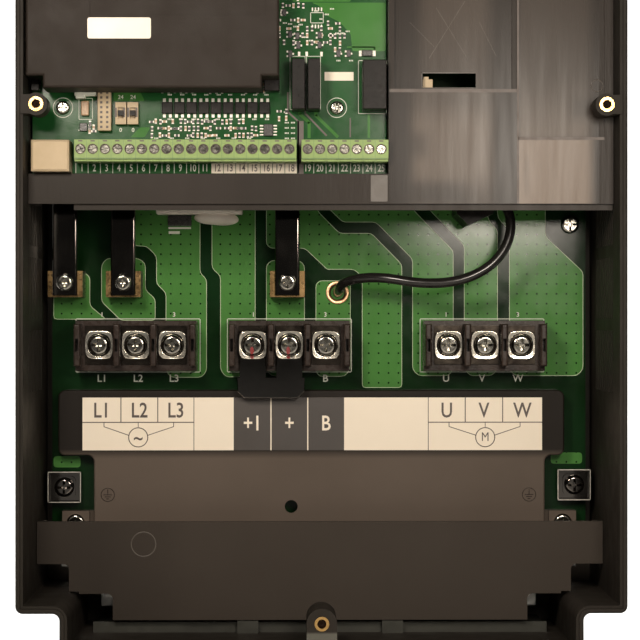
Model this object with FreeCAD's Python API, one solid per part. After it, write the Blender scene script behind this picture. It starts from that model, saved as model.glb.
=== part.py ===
"""A variable frequency drive with its front covers off, each piece its own solid.

Millimetres. X runs across the drive, Y from its front towards the wall, Z up.
The origin is the middle of the base. Depths are measured back from the front rim.
"""

import FreeCAD
import Part

import math
import os

from FreeCAD import Vector

# ---- Overall size ---------------------------------------------------------------
drive_width = 250.0
drive_height = 390.0
drive_depth = 170.0

# ---- Clearances -----------------------------------------------------------------
screw_gap = 0.1
slide_gap = 0.25
shaft_gap = 0.05
edge_gap = 0.5

# ---- Depths of the layers behind the rim ----------------------------------------
option_cover_level = 5.0
terminal_strip_level = 14.0
tray_level = 20.0
control_board_level = 30.0
tray_floor_level = 36.6
deck_level = 55.0
barrier_level = 65.0
busbar_level = 72.0
terminal_seat_level = 75.0
guard_level = 80.0
power_board_level = 90.0

# ---- Housing --------------------------------------------------------------------
wall = 3.0
rim_chamfer = 0.8
rim_rebate_width = 1.2
rim_rebate_depth = 1.6
corner_round = 3.0
inner_round = 0.5
notch_width = 18.0
notch_height = 18.0
notch_round = 6.0
rear_lip_width = 6.0
rear_lip_thickness = 3.0
boss_radius = 4.6
insert_boss_depth = 14.0
side_insert_offset = 8.45
side_insert_height = 226.0
base_boss_width = 12.4
base_boss_height = 20.0
base_boss_depth = 26.0
base_insert_height = 13.8
ledge_width = 4.0
ledge_thickness = 3.0
vent_slot_width = 3.0
vent_slot_pitch = 6.4
vent_slot_count = 9
vent_slot_height = 26.0
vent_first_depth = 24.0
vent_first_height = 107.5
vent_group_pitch = 31.0
vent_group_top_gap = 40.0
top_vent_count = 19
top_vent_pitch = 9.0
top_vent_width = 3.6
top_vent_length = 60.0
top_vent_depth = 24.0
cover_hook_width = 14.0
cover_hook_height = 3.0
cover_hook_offset = 70.0

# ---- Cover inserts --------------------------------------------------------------
insert_radius = 3.0
insert_bore = 1.85
insert_length = 9.0
insert_recess = 0.6

# ---- Rear chassis, heat sink and fans -------------------------------------------
chassis_sheet = 2.0
chassis_wall_inset = 0.5
wall_hole_spacing_x = 229.0
wall_hole_spacing_z = 376.0
wall_hole_radius = 3.5
module_window = (-75.0, 75.0, 84.0, 166.0)
module_height = 17.0
module_round = 2.0
rectifier_limits = (-68.0, -14.0, 92.0, 160.0)
inverter_limits = (-4.0, 70.0, 90.0, 162.0)
sink_width = 200.0
sink_low = 45.0
sink_top_gap = 55.0
sink_base = 9.0
fin_thickness = 2.0
fin_pitch = 8.0
fin_tip_gap = 4.0
fan_size = 60.0
fan_thickness = 25.0
fan_offset = 50.0
fan_top_gap = 8.0
fan_bore_radius = 28.6
fan_hub_radius = 12.0
fan_web = 3.0
fan_strut = 2.6
fan_strut_count = 4
fan_ring_radii = (17.0, 23.0)
fan_ring_width = 1.2
fan_sleeve_radius = 4.0
fan_sleeve_length = 11.0
fan_shaft_radius = 1.5
rotor_cup_radius = 12.5
rotor_cup_wall = 1.5
rotor_height = 14.5
rotor_tip_radius = 27.6
rotor_blade_count = 7
rotor_blade_thickness = 1.2
rotor_blade_chord = 15.0
rotor_blade_pitch = 38.0
rotor_lift = 1.2

# ---- Power board ----------------------------------------------------------------
board_thickness = 1.6
power_board_side_gap = 3.5
power_board_low = 40.0
power_board_top_gap = 24.0
standoff_radius = 4.0
middle_standoff = (111.5, 180.4)
low_standoff = (107.6, 48.4)
high_standoff_x = 111.5
high_standoff_top_gap = 40.0
board_screw_radius = 2.0
board_screw_head = 4.0
board_screw_length = 10.0
ear_screw_length = 16.0
lead_hole_radius = 3.0
capacitor_radius = 22.5
capacitor_spacing = 50.0
capacitor_count = 4
capacitor_top_gap = 90.0
capacitor_front_gap = 3.0

# ---- Power terminals ------------------------------------------------------------
terminal_height = 127.0
terminal_pitch = 16.0
input_terminal_x = -80.5
dc_terminal_x = -13.3
output_terminal_x = 72.4
block_end_margin = 2.5
block_width = 3 * terminal_pitch + 2 * block_end_margin
block_below = 11.4
block_above = 10.7
barrier_thickness = 2.8
barrier_half_height = 9.2
barrier_slot = 1.4
barrier_slot_height = 5.6
barrier_slot_depth = 6.0
barrier_round = 0.8
plate_width = 12.4
plate_length = 17.0
plate_thickness = 1.0
terminal_screw_radius = 2.5
terminal_screw_head = 4.6
terminal_head_height = 2.9
terminal_screw_length = 10.5
washer_size = 12.0
washer_round = 2.2
washer_thickness = 1.2
screw_bore_margin = 1.0
link_thickness = 1.6
link_leg_width = 11.6
link_low = 103.6
link_slot_low = 113.0
link_high = 133.0
link_corner = 3.0
link_margin = 0.9
link_edge_round = 0.4

# ---- Busbars --------------------------------------------------------------------
busbar_width = 10.8
busbar_thickness = 2.0
busbar_edge_round = 0.9
busbar_low = 148.8
busbar_high = 236.0
busbar_screw_height = 154.3
busbar_positions = (-111.4, -86.0, -14.2)
post_width = 15.2
post_low = 148.0
post_high = 159.4
busbar_screw_radius = 2.0
busbar_screw_head = 3.7
busbar_screw_length = 9.0

# ---- Parts on the power board ---------------------------------------------------
sensor_limits = (59.0, 75.0, 179.0, 214.0)
sensor_level = 58.0
sensor_chamfer = 5.0
absorber_limits = (-72.0, -34.0, 179.0, 204.0)
absorber_level = 79.0
absorber_round = 1.5
lead_diameter = 4.3
lead_hole = (8.1, 150.1)
lead_points = (
    (8.1, 82.4, 150.1),
    (13.6, 71.5, 154.9),
    (27.0, 63.5, 155.6),
    (44.5, 60.2, 153.4),
    (60.5, 59.3, 154.6),
    (72.9, 59.6, 160.2),
    (80.6, 60.6, 168.9),
    (83.2, 61.8, 178.6),
    (81.4, 63.6, 187.4),
)
lead_end_height = 193.6
lead_end_level = 66.0

# ---- Earth clamps ---------------------------------------------------------------
earth_positions = ((-112.4, 64.3), (112.4, 65.2))
earth_width = 14.6
earth_height = 13.6
earth_block = 7.0
earth_rim_width = 0.8
earth_rim_height = 2.2
earth_screw_radius = 2.5
earth_screw_head = 4.3
earth_head_height = 2.8
earth_washer_size = 9.6
earth_screw_length = 7.0

# ---- Wiring guard and its label -------------------------------------------------
guard_left = -115.0
guard_right = 108.0
guard_high = 107.0
guard_shoulder = 78.4
guard_lower_half = 99.3
guard_low = 24.0
guard_wall = 2.4
guard_round = 3.0
guard_top_skirt = 4.0
guard_hole = (-12.5, 55.8)
guard_hole_radius = 2.85
guard_ear_level = 84.0
guard_ear_width = 12.0
guard_ear_low = 42.0
guard_ear_high = 53.6
guard_ear_web = 4.0
label_limits = (-104.3, 98.1, 80.6, 103.8)
label_thickness = 0.4

# ---- Deck over the cable entries and gland plate --------------------------------
deck_thickness = 2.6
deck_high = 51.2
deck_flange = 20.0
side_window_width = 14.0
side_window_height = 12.0
window_round = 2.4
base_window_width = 14.8
base_window_high = 20.2
deck_ledge_low = 38.0
deck_ledge_depth = 6.0
gland_half_width = 98.0
gland_front = 60.0
gland_rear = 103.0
gland_thickness = 2.5
gland_overlap = 4.0
gland_rail_height = 4.5
gland_rail_thickness = 2.0
gland_latch_x = 31.2
gland_latch_width = 9.0
gland_latch_height = 5.5
gland_latch_depth = 4.0
deck_latch_gap = 0.4
deck_low = wall + gland_latch_height + deck_latch_gap
grommet_positions = (-62.0, 0.0, 62.0)
grommet_hole = 15.0
grommet_outer = 17.5
grommet_bore = 9.0
grommet_rise = 2.5

# ---- Control tray ---------------------------------------------------------------
tray_sheet = 2.4
tray_lip_low = 183.7
tray_band_low = 186.2
tray_band_high = 198.7
tray_lip_left = -103.0
tray_lip_depth = 2.0
tray_top_gap = 14.0
pocket_right = 28.0
pocket_top_gap = 22.0
panel_split_x = 82.0
left_step_height = 233.8
right_step_height = 213.7
panel_step = 2.0
slot_limits = (42.2, 64.5, 234.9, 240.8)
tray_boss_radius = 3.5

# ---- Control board --------------------------------------------------------------
control_left = -121.0
control_right = 27.4
control_low = 199.4
control_top_gap = 24.0
control_screw_low = 227.0
control_screw_left = -108.3
control_screw_right = 6.7
control_screw_top_gap = 34.0
control_screw_radius = 1.5
control_screw_head = 2.9
control_screw_length = 6.0
wide_strip_left = -102.2
narrow_strip_left = -8.25
strip_pitch = 5.08
wide_strip_ways = 18
narrow_strip_ways = 7
strip_end_wall = 0.2
strip_low = 203.6
strip_high = 212.5
strip_lip = 1.2
strip_lip_drop = 1.5
strip_screw_height = 208.6
strip_screw_radius = 1.9
strip_screw_length = 3.0
strip_screw_recess = 0.5
port_limits = (-120.1, -104.4, 198.9, 212.4)
port_chamfer = 0.8
relay_limits = (
    (-12.2, -6.8, 225.3, 246.3),
    (-5.6, -0.5, 225.3, 246.3),
    (17.2, 27.0, 225.3, 245.8),
)
relay_level = 15.0
switch_centres = (-83.8, -78.8)
switch_low = 219.8
switch_height = 9.2
switch_width = 4.5
switch_rise = 4.0
switch_slot = 4.8
switch_slot_width = 2.4
switch_slot_depth = 1.6
knob_length = 2.2
knob_rise = 1.6

# ---- Option cover ---------------------------------------------------------------
option_left = -121.4
option_right = -17.5
option_low = 233.0
option_top_gap = 16.0
option_sheet = 2.0
option_notch = (7.0, 5.0)
option_skirt_end = 26.0
option_round = 1.2
option_foot = 5.0
option_pocket = (-95.0, -23.0, 262.7)
option_pocket_depth = 0.6
option_pocket_top_gap = 30.0

# ---- Worked-out levels ----------------------------------------------------------
rim_y = -drive_depth / 2
half_width = drive_width / 2
board_back_level = power_board_level + board_thickness
sink_level = board_back_level + module_height
chassis_level = sink_level - chassis_sheet
inner_half = half_width - wall
notch_inner_x = half_width - notch_width - wall
notch_inner_z = notch_height + wall


# ---- Shapes that many pieces are made of ----------------------------------------
def box(x0, x1, d0, d1, z0, z1):
    """A box between two limits across, two depths behind the rim, and two heights."""
    return Part.makeBox(x1 - x0, d1 - d0, z1 - z0, Vector(x0, rim_y + d0, z0))


def rod(x, z, radius, d0, d1):
    """A round bar along the depth, from depth d0 back to d1."""
    return Part.makeCylinder(radius, d1 - d0, Vector(x, rim_y + d0, z), Vector(0, 1, 0))


def post(x, depth, radius, z0, z1):
    """A round bar standing up, from height z0 to z1."""
    return Part.makeCylinder(radius, z1 - z0, Vector(x, rim_y + depth, z0))


def prism(points, d0, d1):
    """The closed outline through (x, z) points, carried from depth d0 back to d1."""
    corners = [Vector(x, rim_y + d0, z) for x, z in points]
    outline = Part.makePolygon(corners + corners[:1])
    return Part.Face(outline).extrude(Vector(0, d1 - d0, 0))


def runs_along_depth(edge):
    """True for a straight edge that runs from front to back."""
    ends = edge.Vertexes
    if len(ends) != 2:
        return False
    step = ends[1].Point - ends[0].Point
    return abs(step.x) < 1e-6 and abs(step.z) < 1e-6


def round_depth_edges(shape, radius):
    """The shape with every front-to-back edge rounded."""
    return shape.makeFillet(radius, [e for e in shape.Edges if runs_along_depth(e)])


def front_edges(shape, level):
    """The edges that lie wholly at one depth."""
    y = rim_y + level
    flat = [e for e in shape.Edges if abs(e.BoundBox.YMin - y) < 1e-4]
    return [e for e in flat if abs(e.BoundBox.YMax - y) < 1e-4]


def joined(shapes):
    """One solid made of shapes that touch or overlap."""
    first, *others = shapes
    return first.fuse(others).removeSplitter() if others else first


def cross_recess(x, z, level, span, depth):
    """The cutter for a cross recess: two crossed blades that narrow as they go in."""
    blades = []
    for turn in (0, 90):
        width = span * 0.2
        blade = Part.makeWedge(-span / 2, 0, -width / 2, -width / 4, -span / 5,
                               span / 2, depth, width / 2, width / 4, span / 5)
        blade.rotate(Vector(0, 0, 0), Vector(0, 1, 0), turn)
        blade.translate(Vector(x, rim_y + level, z))
        blades.append(blade)
    return blades[0].fuse(blades[1])


def pan_screw(x, z, seat, head_radius, head_height, shank_radius, length):
    """A cross-head screw whose head rests at the seat depth and whose shank goes back."""
    front = seat - head_height
    head = rod(x, z, head_radius, front, seat)
    head = head.makeFillet(head_height * 0.55, front_edges(head, front))
    head = head.cut(cross_recess(x, z, front, head_radius * 1.35, head_height * 0.6))
    return head.fuse(rod(x, z, shank_radius, seat, seat + length)).removeSplitter()


# ---- Housing --------------------------------------------------------------------
def drive_outline(inset):
    """The drive's front outline with its four screw-access corners, shrunk by inset."""
    half = half_width - inset
    notch_x = half_width - notch_width - inset
    low = inset
    high = drive_height - inset
    shoulder_low = notch_height + inset
    shoulder_high = drive_height - notch_height - inset
    return [(-notch_x, low), (notch_x, low), (notch_x, shoulder_low), (half, shoulder_low),
            (half, shoulder_high), (notch_x, shoulder_high), (notch_x, high),
            (-notch_x, high), (-notch_x, shoulder_high), (-half, shoulder_high),
            (-half, shoulder_low), (-notch_x, shoulder_low)]


def notched_prism(inset, d0, d1, corner, hollow):
    """The drive's outline carried back, with outer corners and hollow corners rounded."""
    shape = prism(drive_outline(inset), d0, d1)
    notch_x = half_width - notch_width - inset
    shoulders = (notch_height + inset, drive_height - notch_height - inset)
    outer, inner = [], []
    for edge in filter(runs_along_depth, shape.Edges):
        point = edge.Vertexes[0].Point
        at_shoulder = min(abs(point.z - s) for s in shoulders) < 1e-6
        at_notch = abs(abs(point.x) - notch_x) < 1e-6
        (inner if at_shoulder and at_notch else outer).append(edge)
    shape = shape.makeFillet(corner, outer)
    if hollow > 0:
        hollows = []
        for edge in filter(runs_along_depth, shape.Edges):
            point = edge.Vertexes[0].Point
            if abs(abs(point.x) - notch_x) < 1e-6:
                if min(abs(point.z - s) for s in shoulders) < 1e-6:
                    hollows.append(edge)
        shape = shape.makeFillet(hollow, hollows)
    return shape


def side_insert(side):
    """Where the cover insert of one side stands: side is -1 for left, 1 for right."""
    return side * (half_width - side_insert_offset), side_insert_height


def vent_cutters():
    """Slots through both side walls, in groups, and a row of them through the top."""
    cutters = []
    room = drive_height - vent_group_top_gap - vent_slot_height - vent_first_height
    for group in range(int(room // vent_group_pitch) + 1):
        low = vent_first_height + group * vent_group_pitch
        for i in range(vent_slot_count):
            depth = vent_first_depth + i * vent_slot_pitch
            cutters.append(box(-half_width - 1, -inner_half + 1, depth,
                               depth + vent_slot_width, low, low + vent_slot_height))
            cutters.append(box(inner_half - 1, half_width + 1, depth,
                               depth + vent_slot_width, low, low + vent_slot_height))
    for i in range(top_vent_count):
        x = (i - (top_vent_count - 1) / 2) * top_vent_pitch
        cutters.append(box(x - top_vent_width / 2, x + top_vent_width / 2, top_vent_depth,
                           top_vent_depth + top_vent_length,
                           drive_height - wall - 1, drive_height + 1))
    return cutters


def make_housing():
    """The moulded case: a notched tube with bosses, ledges, vents and a rear lip."""
    outer = notched_prism(0, 0, chassis_level, corner_round, notch_round - wall)
    outer = outer.makeChamfer(rim_chamfer, front_edges(outer, 0))
    room = notched_prism(wall, -1, chassis_level + 1, inner_round, notch_round)
    room_front = notched_prism(wall, -1, chassis_level - rear_lip_thickness, inner_round,
                               notch_round)
    opening = notched_prism(wall + rear_lip_width, chassis_level - rear_lip_thickness - 1,
                            chassis_level + 1, inner_round, notch_round)
    rebate = notched_prism(wall - rim_rebate_width, -1, rim_rebate_depth, inner_round,
                           notch_round - wall + rim_rebate_width)
    shell = outer.cut([room_front, opening, rebate])
    added = []
    for side in (-1, 1):
        x, z = side_insert(side)
        arm_limits = sorted((x, side * (inner_half + 1)))
        arm = box(arm_limits[0], arm_limits[1], insert_recess, insert_boss_depth,
                  z - boss_radius * 0.85, z + boss_radius * 0.85)
        added.append(arm.fuse(rod(x, z, boss_radius, insert_recess, insert_boss_depth)))
        ledge_limits = sorted((side * (inner_half - ledge_width), side * (inner_half + 1)))
        ledge_level = tray_floor_level + tray_sheet
        added.append(box(ledge_limits[0], ledge_limits[1], ledge_level,
                         ledge_level + ledge_thickness, tray_band_low,
                         drive_height - notch_inner_z))
        deck_back = deck_level + deck_thickness
        added.append(box(ledge_limits[0], ledge_limits[1], deck_back,
                         deck_back + deck_ledge_depth, deck_ledge_low, deck_high))
    half_boss = base_boss_width / 2
    base_boss = box(-half_boss, half_boss, insert_recess, base_boss_depth, wall / 2,
                    base_insert_height)
    added.append(base_boss.fuse(rod(0, base_insert_height, half_boss, insert_recess,
                                    base_boss_depth)))
    shell = shell.fuse(added)
    cutters = vent_cutters()
    for x, z in (side_insert(-1), side_insert(1), (0, base_insert_height)):
        cutters.append(rod(x, z, insert_radius + shaft_gap, insert_recess - 1,
                           insert_recess + insert_length))
    open_half = gland_half_width - gland_overlap
    cutters.append(box(-open_half, open_half, gland_front + gland_overlap,
                       gland_rear - gland_overlap, -1, wall + 1))
    for side in (-1, 1):
        x = side * cover_hook_offset
        cutters.append(box(x - cover_hook_width / 2, x + cover_hook_width / 2, wall,
                           wall + cover_hook_height, drive_height - wall - 1,
                           drive_height + 1))
    return shell.cut(cutters).common(room.fuse(outer)).removeSplitter()


def make_brass_inserts():
    """Three threaded inserts that the front cover's screws go into."""
    inserts = []
    for x, z in (side_insert(-1), side_insert(1), (0, base_insert_height)):
        sleeve = rod(x, z, insert_radius, 0, insert_recess + insert_length)
        inserts.append(sleeve.cut(rod(x, z, insert_bore, -1, insert_length)))
    return inserts


# ---- Rear chassis, heat sink and fans -------------------------------------------
def make_rear_chassis():
    """The folded steel frame: a front plate, two side walls and the wall flanges."""
    plate = notched_prism(0, chassis_level, sink_level, corner_round, notch_round - wall)
    x0, x1, z0, z1 = module_window
    plate = plate.cut(box(x0, x1, chassis_level - 1, sink_level + 1, z0, z1))
    pieces = [plate]
    outer_x = half_width - notch_width - chassis_wall_inset
    flange_level = drive_depth - chassis_sheet
    for side in (-1, 1):
        sheet = sorted((side * outer_x, side * (outer_x - chassis_sheet)))
        pieces.append(box(sheet[0], sheet[1], sink_level, drive_depth, 0, drive_height))
        flange = sorted((side * (outer_x - chassis_sheet), side * half_width))
        pieces.append(box(flange[0], flange[1], flange_level, drive_depth, 0, drive_height))
    holes = []
    for side in (-1, 1):
        for end in (-1, 1):
            x = side * wall_hole_spacing_x / 2
            z = drive_height / 2 + end * wall_hole_spacing_z / 2
            holes.append(rod(x, z, wall_hole_radius, flange_level - 1, drive_depth + 1))
    return joined(pieces).cut(holes)


def make_heat_sink():
    """The finned aluminium block: one comb outline carried upwards."""
    half = sink_width / 2
    base_back = rim_y + sink_level + sink_base
    tip = rim_y + drive_depth - fin_tip_gap
    count = int((sink_width - fin_thickness) // fin_pitch) + 1
    start = -(count - 1) * fin_pitch / 2
    outline = [(-half, rim_y + sink_level), (-half, base_back)]
    for i in range(count):
        middle = start + i * fin_pitch
        left, right = middle - fin_thickness / 2, middle + fin_thickness / 2
        outline += [(left, base_back), (left, tip), (right, tip), (right, base_back)]
    outline += [(half, base_back), (half, rim_y + sink_level)]
    corners = [Vector(x, y, sink_low) for x, y in outline]
    comb = Part.Face(Part.makePolygon(corners + corners[:1]))
    return comb.extrude(Vector(0, 0, drive_height - sink_top_gap - sink_low))


def fan_axis_depth():
    """How far behind the rim the fans' axes stand."""
    return sink_level + fan_size / 2


def make_fan_frame(x):
    """A square fan frame with a hub on struts, finger rings and a bearing sleeve."""
    top = drive_height - fan_top_gap
    low = top - fan_thickness
    depth = fan_axis_depth()
    half = fan_size / 2
    frame = box(x - half, x + half, depth - half, depth + half, low, top)
    frame = frame.cut(post(x, depth, fan_bore_radius, low - 1, top + 1))
    web_low = top - fan_web
    pieces = [frame, post(x, depth, fan_hub_radius, web_low, top)]
    for radius in fan_ring_radii:
        ring = post(x, depth, radius + fan_ring_width / 2, web_low, top)
        pieces.append(ring.cut(post(x, depth, radius - fan_ring_width / 2, web_low - 1,
                                    top + 1)))
    for i in range(fan_strut_count):
        strut = Part.makeBox(fan_bore_radius, fan_strut, fan_web,
                             Vector(0, -fan_strut / 2, web_low))
        strut.rotate(Vector(0, 0, 0), Vector(0, 0, 1), 45 + 360 / fan_strut_count * i)
        strut.translate(Vector(x, rim_y + depth, 0))
        pieces.append(strut)
    pieces.append(post(x, depth, fan_sleeve_radius, web_low - fan_sleeve_length, top))
    frame = joined(pieces)
    bore = post(x, depth, fan_shaft_radius + shaft_gap, web_low - fan_sleeve_length - 1,
                top - 1)
    return frame.cut(bore)


def make_fan_rotor(x):
    """A fan wheel: a cup with pitched blades and a shaft that runs in the sleeve."""
    top = drive_height - fan_top_gap
    depth = fan_axis_depth()
    low = top - fan_thickness + rotor_lift
    cup = post(x, depth, rotor_cup_radius, low, low + rotor_height)
    hollow = post(x, depth, rotor_cup_radius - rotor_cup_wall, low + rotor_cup_wall,
                  low + rotor_height + 1)
    pieces = [cup.cut(hollow)]
    root = rotor_cup_radius - rotor_cup_wall / 2
    for i in range(rotor_blade_count):
        blade = Part.makeBox(rotor_tip_radius - root, rotor_blade_chord,
                             rotor_blade_thickness,
                             Vector(root, -rotor_blade_chord / 2,
                                    -rotor_blade_thickness / 2))
        blade.rotate(Vector(0, 0, 0), Vector(1, 0, 0), rotor_blade_pitch)
        blade.rotate(Vector(0, 0, 0), Vector(0, 0, 1), 360 / rotor_blade_count * i)
        blade.translate(Vector(x, rim_y + depth, low + rotor_height / 2))
        pieces.append(blade)
    swept = post(x, depth, rotor_tip_radius, low, low + rotor_height)
    wheel = joined(pieces).common(swept)
    core = post(x, depth, rotor_cup_radius - rotor_cup_wall, low + rotor_cup_wall,
                low + rotor_height)
    wheel = wheel.cut(core)
    shaft_top = top - fan_web
    return joined([wheel, post(x, depth, fan_shaft_radius, low, shaft_top)])


# ---- Power board and what stands on it ------------------------------------------
def standoff_places():
    """Where the power board is screwed down, as (x, z)."""
    high = drive_height - high_standoff_top_gap
    low_x, low_z = low_standoff
    mid_x, mid_z = middle_standoff
    places = []
    for side in (-1, 1):
        places.append((side * low_x, low_z))
        places.append((side * mid_x, mid_z))
        places.append((side * high_standoff_x, high))
    return places


def control_screw_places():
    """Where the control board is screwed to the tray, as (x, z)."""
    high = drive_height - control_screw_top_gap
    return [(x, z) for x in (control_screw_left, control_screw_right)
            for z in (control_screw_low, high)]


def make_power_modules():
    """The rectifier and the inverter module, flat on the heat sink."""
    modules = []
    for x0, x1, z0, z1 in (rectifier_limits, inverter_limits):
        module = box(x0, x1, board_back_level, sink_level, z0, z1)
        modules.append(round_depth_edges(module, module_round))
    return modules


def make_power_board():
    """The main circuit board, drilled for its screws and for the sense lead."""
    half = inner_half - power_board_side_gap
    board = box(-half, half, power_board_level, board_back_level, power_board_low,
                drive_height - power_board_top_gap)
    holes = [rod(x, z, board_screw_radius + screw_gap, power_board_level - 1,
                 board_back_level + 1) for x, z in standoff_places()]
    holes.append(rod(lead_hole[0], lead_hole[1], lead_hole_radius, power_board_level - 1,
                     board_back_level + 1))
    return board.cut(holes)


def make_board_standoffs():
    """Tapped spacers between the chassis plate and the power board."""
    spacers = []
    for x, z in standoff_places():
        spacer = rod(x, z, standoff_radius, board_back_level, chassis_level)
        spacers.append(spacer.cut(rod(x, z, board_screw_radius + screw_gap,
                                      board_back_level - 1, chassis_level - 1)))
    return spacers


def make_board_screws():
    """Every fixed screw of the two boards and of the busbars."""
    screws = []
    for x, z in standoff_places():
        through_ear = z == low_standoff[1]
        seat = guard_ear_level if through_ear else power_board_level
        length = ear_screw_length if through_ear else board_screw_length
        screws.append(pan_screw(x, z, seat, board_screw_head, board_screw_head * 0.6,
                                board_screw_radius, length))
    for x, z in control_screw_places():
        screws.append(pan_screw(x, z, control_board_level, control_screw_head,
                                control_screw_head * 0.6, control_screw_radius,
                                control_screw_length))
    for x in busbar_positions:
        screws.append(pan_screw(x, busbar_screw_height, busbar_level, busbar_screw_head,
                                busbar_screw_head * 0.6, busbar_screw_radius,
                                busbar_screw_length))
    return screws


def make_dc_capacitors():
    """The row of capacitor cans behind the control tray."""
    front = tray_floor_level + tray_sheet + capacitor_front_gap
    cans = []
    for i in range(capacitor_count):
        x = (i - (capacitor_count - 1) / 2) * capacitor_spacing
        z = drive_height - capacitor_top_gap
        can = rod(x, z, capacitor_radius, front, power_board_level)
        cans.append(can.makeFillet(1.5, front_edges(can, front)))
    return cans


def make_surge_absorber():
    """The white ceramic part that stands on the power board under the tray's lip."""
    x0, x1, z0, z1 = absorber_limits
    body = box(x0, x1, absorber_level, power_board_level, z0, z1)
    return body.makeFillet(absorber_round, front_edges(body, absorber_level))


def make_current_sensor():
    """The current sensor beside the output lines, with its lower corner cut off."""
    x0, x1, z0, z1 = sensor_limits
    outline = [(x0 + sensor_chamfer, z0), (x1, z0 + sensor_chamfer), (x1, z1), (x0, z1),
               (x0, z0 + sensor_chamfer)]
    return prism(outline, sensor_level, power_board_level)


# ---- The sense lead -------------------------------------------------------------
def lead_route():
    """The sense lead's points, from the inverter module to the current sensor."""
    points = [Vector(lead_hole[0], rim_y + board_back_level, lead_hole[1])]
    points += [Vector(x, rim_y + d, z) for x, d, z in lead_points]
    points.append(Vector(sensor_limits[1], rim_y + lead_end_level, lead_end_height))
    return points


def rounded_path(points):
    """Straight runs joined by tangent arcs, each arc as large as its two runs allow."""
    edges = []
    start = points[0]
    for before, corner, after in zip(points, points[1:], points[2:]):
        back = before - corner
        ahead = after - corner
        shorter = min(back.Length, ahead.Length)
        turn = math.pi - back.getAngle(ahead)
        radius = 0.45 * shorter / math.tan(turn / 2)
        print(f"lead: turn {math.degrees(turn):5.1f} degrees, radius {radius:5.1f} mm")
        back.normalize()
        ahead.normalize()
        arc_start = corner + back * (0.45 * shorter)
        arc_end = corner + ahead * (0.45 * shorter)
        inward = back + ahead
        inward.normalize()
        centre_distance = radius / math.cos(turn / 2)
        middle = corner + inward * (centre_distance - radius)
        edges.append(Part.LineSegment(start, arc_start).toShape())
        edges.append(Part.Arc(arc_start, middle, arc_end).toShape())
        start = arc_end
    edges.append(Part.LineSegment(start, points[-1]).toShape())
    return Part.Wire(edges)


def make_sense_lead():
    """The black lead from the inverter module out through the board to the sensor."""
    points = lead_route()
    path = rounded_path(points)
    circle = Part.Wire(Part.makeCircle(lead_diameter / 2, points[0],
                                       points[1] - points[0]))
    tube = path.makePipeShell([circle], True, True)
    section = math.pi * lead_diameter ** 2 / 4
    print(f"lead: length {path.Length:.1f} mm, volume {tube.Volume:.1f}, "
          f"section times length {section * path.Length:.1f}")
    return tube


# ---- Power terminals ------------------------------------------------------------
def pole_centres(block_x):
    """The three terminals of one block, from left to right."""
    return [block_x + i * terminal_pitch for i in (-1, 0, 1)]


def linked_poles():
    """The two terminals that the link bar joins."""
    return pole_centres(dc_terminal_x)[:2]


def washer_seat(x):
    """How deep a terminal's washer rests: higher where the link bar is under it."""
    seat = terminal_seat_level - plate_thickness
    linked = min(abs(x - pole) for pole in linked_poles()) < 1e-6
    return seat - link_thickness if linked else seat


def make_terminal_block(block_x):
    """A three-way block: a base, four slotted barriers and a bore behind each screw."""
    low = terminal_height - block_below
    high = terminal_height + block_above
    half = block_width / 2
    base = box(block_x - half, block_x + half, terminal_seat_level, power_board_level,
               low, high)
    pieces = [base]
    inner = terminal_pitch / 2
    outer = half - barrier_thickness / 2
    slots = []
    for offset in (-outer, -inner, inner, outer):
        x = block_x + offset
        barrier = box(x - barrier_thickness / 2, x + barrier_thickness / 2, barrier_level,
                      terminal_seat_level, terminal_height - barrier_half_height,
                      terminal_height + barrier_half_height)
        pieces.append(barrier.makeFillet(barrier_round, front_edges(barrier, barrier_level)))
        slots.append(box(x - barrier_slot / 2, x + barrier_slot / 2, barrier_level - 1,
                         barrier_level + barrier_slot_depth,
                         terminal_height - barrier_slot_height / 2,
                         terminal_height + barrier_slot_height / 2))
    for x in pole_centres(block_x):
        back = washer_seat(x) - washer_thickness + terminal_screw_length
        slots.append(rod(x, terminal_height, terminal_screw_radius + screw_gap,
                         terminal_seat_level - 1, back + screw_bore_margin))
    return joined(pieces).cut(slots)


def make_terminal_plates():
    """The nine nickel plates that the wire lugs are clamped on."""
    plates = []
    for block_x in (input_terminal_x, dc_terminal_x, output_terminal_x):
        for x in pole_centres(block_x):
            plate = box(x - plate_width / 2, x + plate_width / 2,
                        terminal_seat_level - plate_thickness, terminal_seat_level,
                        terminal_height - plate_length / 2,
                        terminal_height + plate_length / 2)
            plates.append(plate.cut(rod(x, terminal_height,
                                        terminal_screw_radius + screw_gap,
                                        terminal_seat_level - plate_thickness - 1,
                                        terminal_seat_level + 1)))
    return plates


def make_washer(x, z, seat, size, bore):
    """A square clamping washer with rounded corners."""
    half = size / 2
    plate = box(x - half, x + half, seat - washer_thickness, seat, z - half, z + half)
    plate = round_depth_edges(plate, washer_round)
    return plate.cut(rod(x, z, bore + screw_gap, seat - washer_thickness - 1, seat + 1))


def make_dc_link_bar():
    """The bar that joins two direct-current terminals: two legs and a broad foot."""
    left, right = linked_poles()
    half_leg = link_leg_width / 2
    x0 = left - half_leg - link_margin
    x1 = right + half_leg + link_margin
    back = terminal_seat_level - plate_thickness
    outline = [(x0 + link_corner, link_low), (x1 - link_corner, link_low),
               (x1, link_low + link_corner), (x1, link_slot_low),
               (right + half_leg, link_slot_low), (right + half_leg, link_high),
               (right - half_leg, link_high), (right - half_leg, link_slot_low),
               (left + half_leg, link_slot_low), (left + half_leg, link_high),
               (left - half_leg, link_high), (left - half_leg, link_slot_low),
               (x0, link_slot_low), (x0, link_low + link_corner)]
    front = back - link_thickness
    bar = prism(outline, front, back)
    bar = bar.makeFillet(link_edge_round, front_edges(bar, front))
    holes = [rod(x, terminal_height, terminal_screw_radius + screw_gap, front - 1,
                 back + 1) for x in (left, right)]
    return bar.cut(holes)


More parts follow.
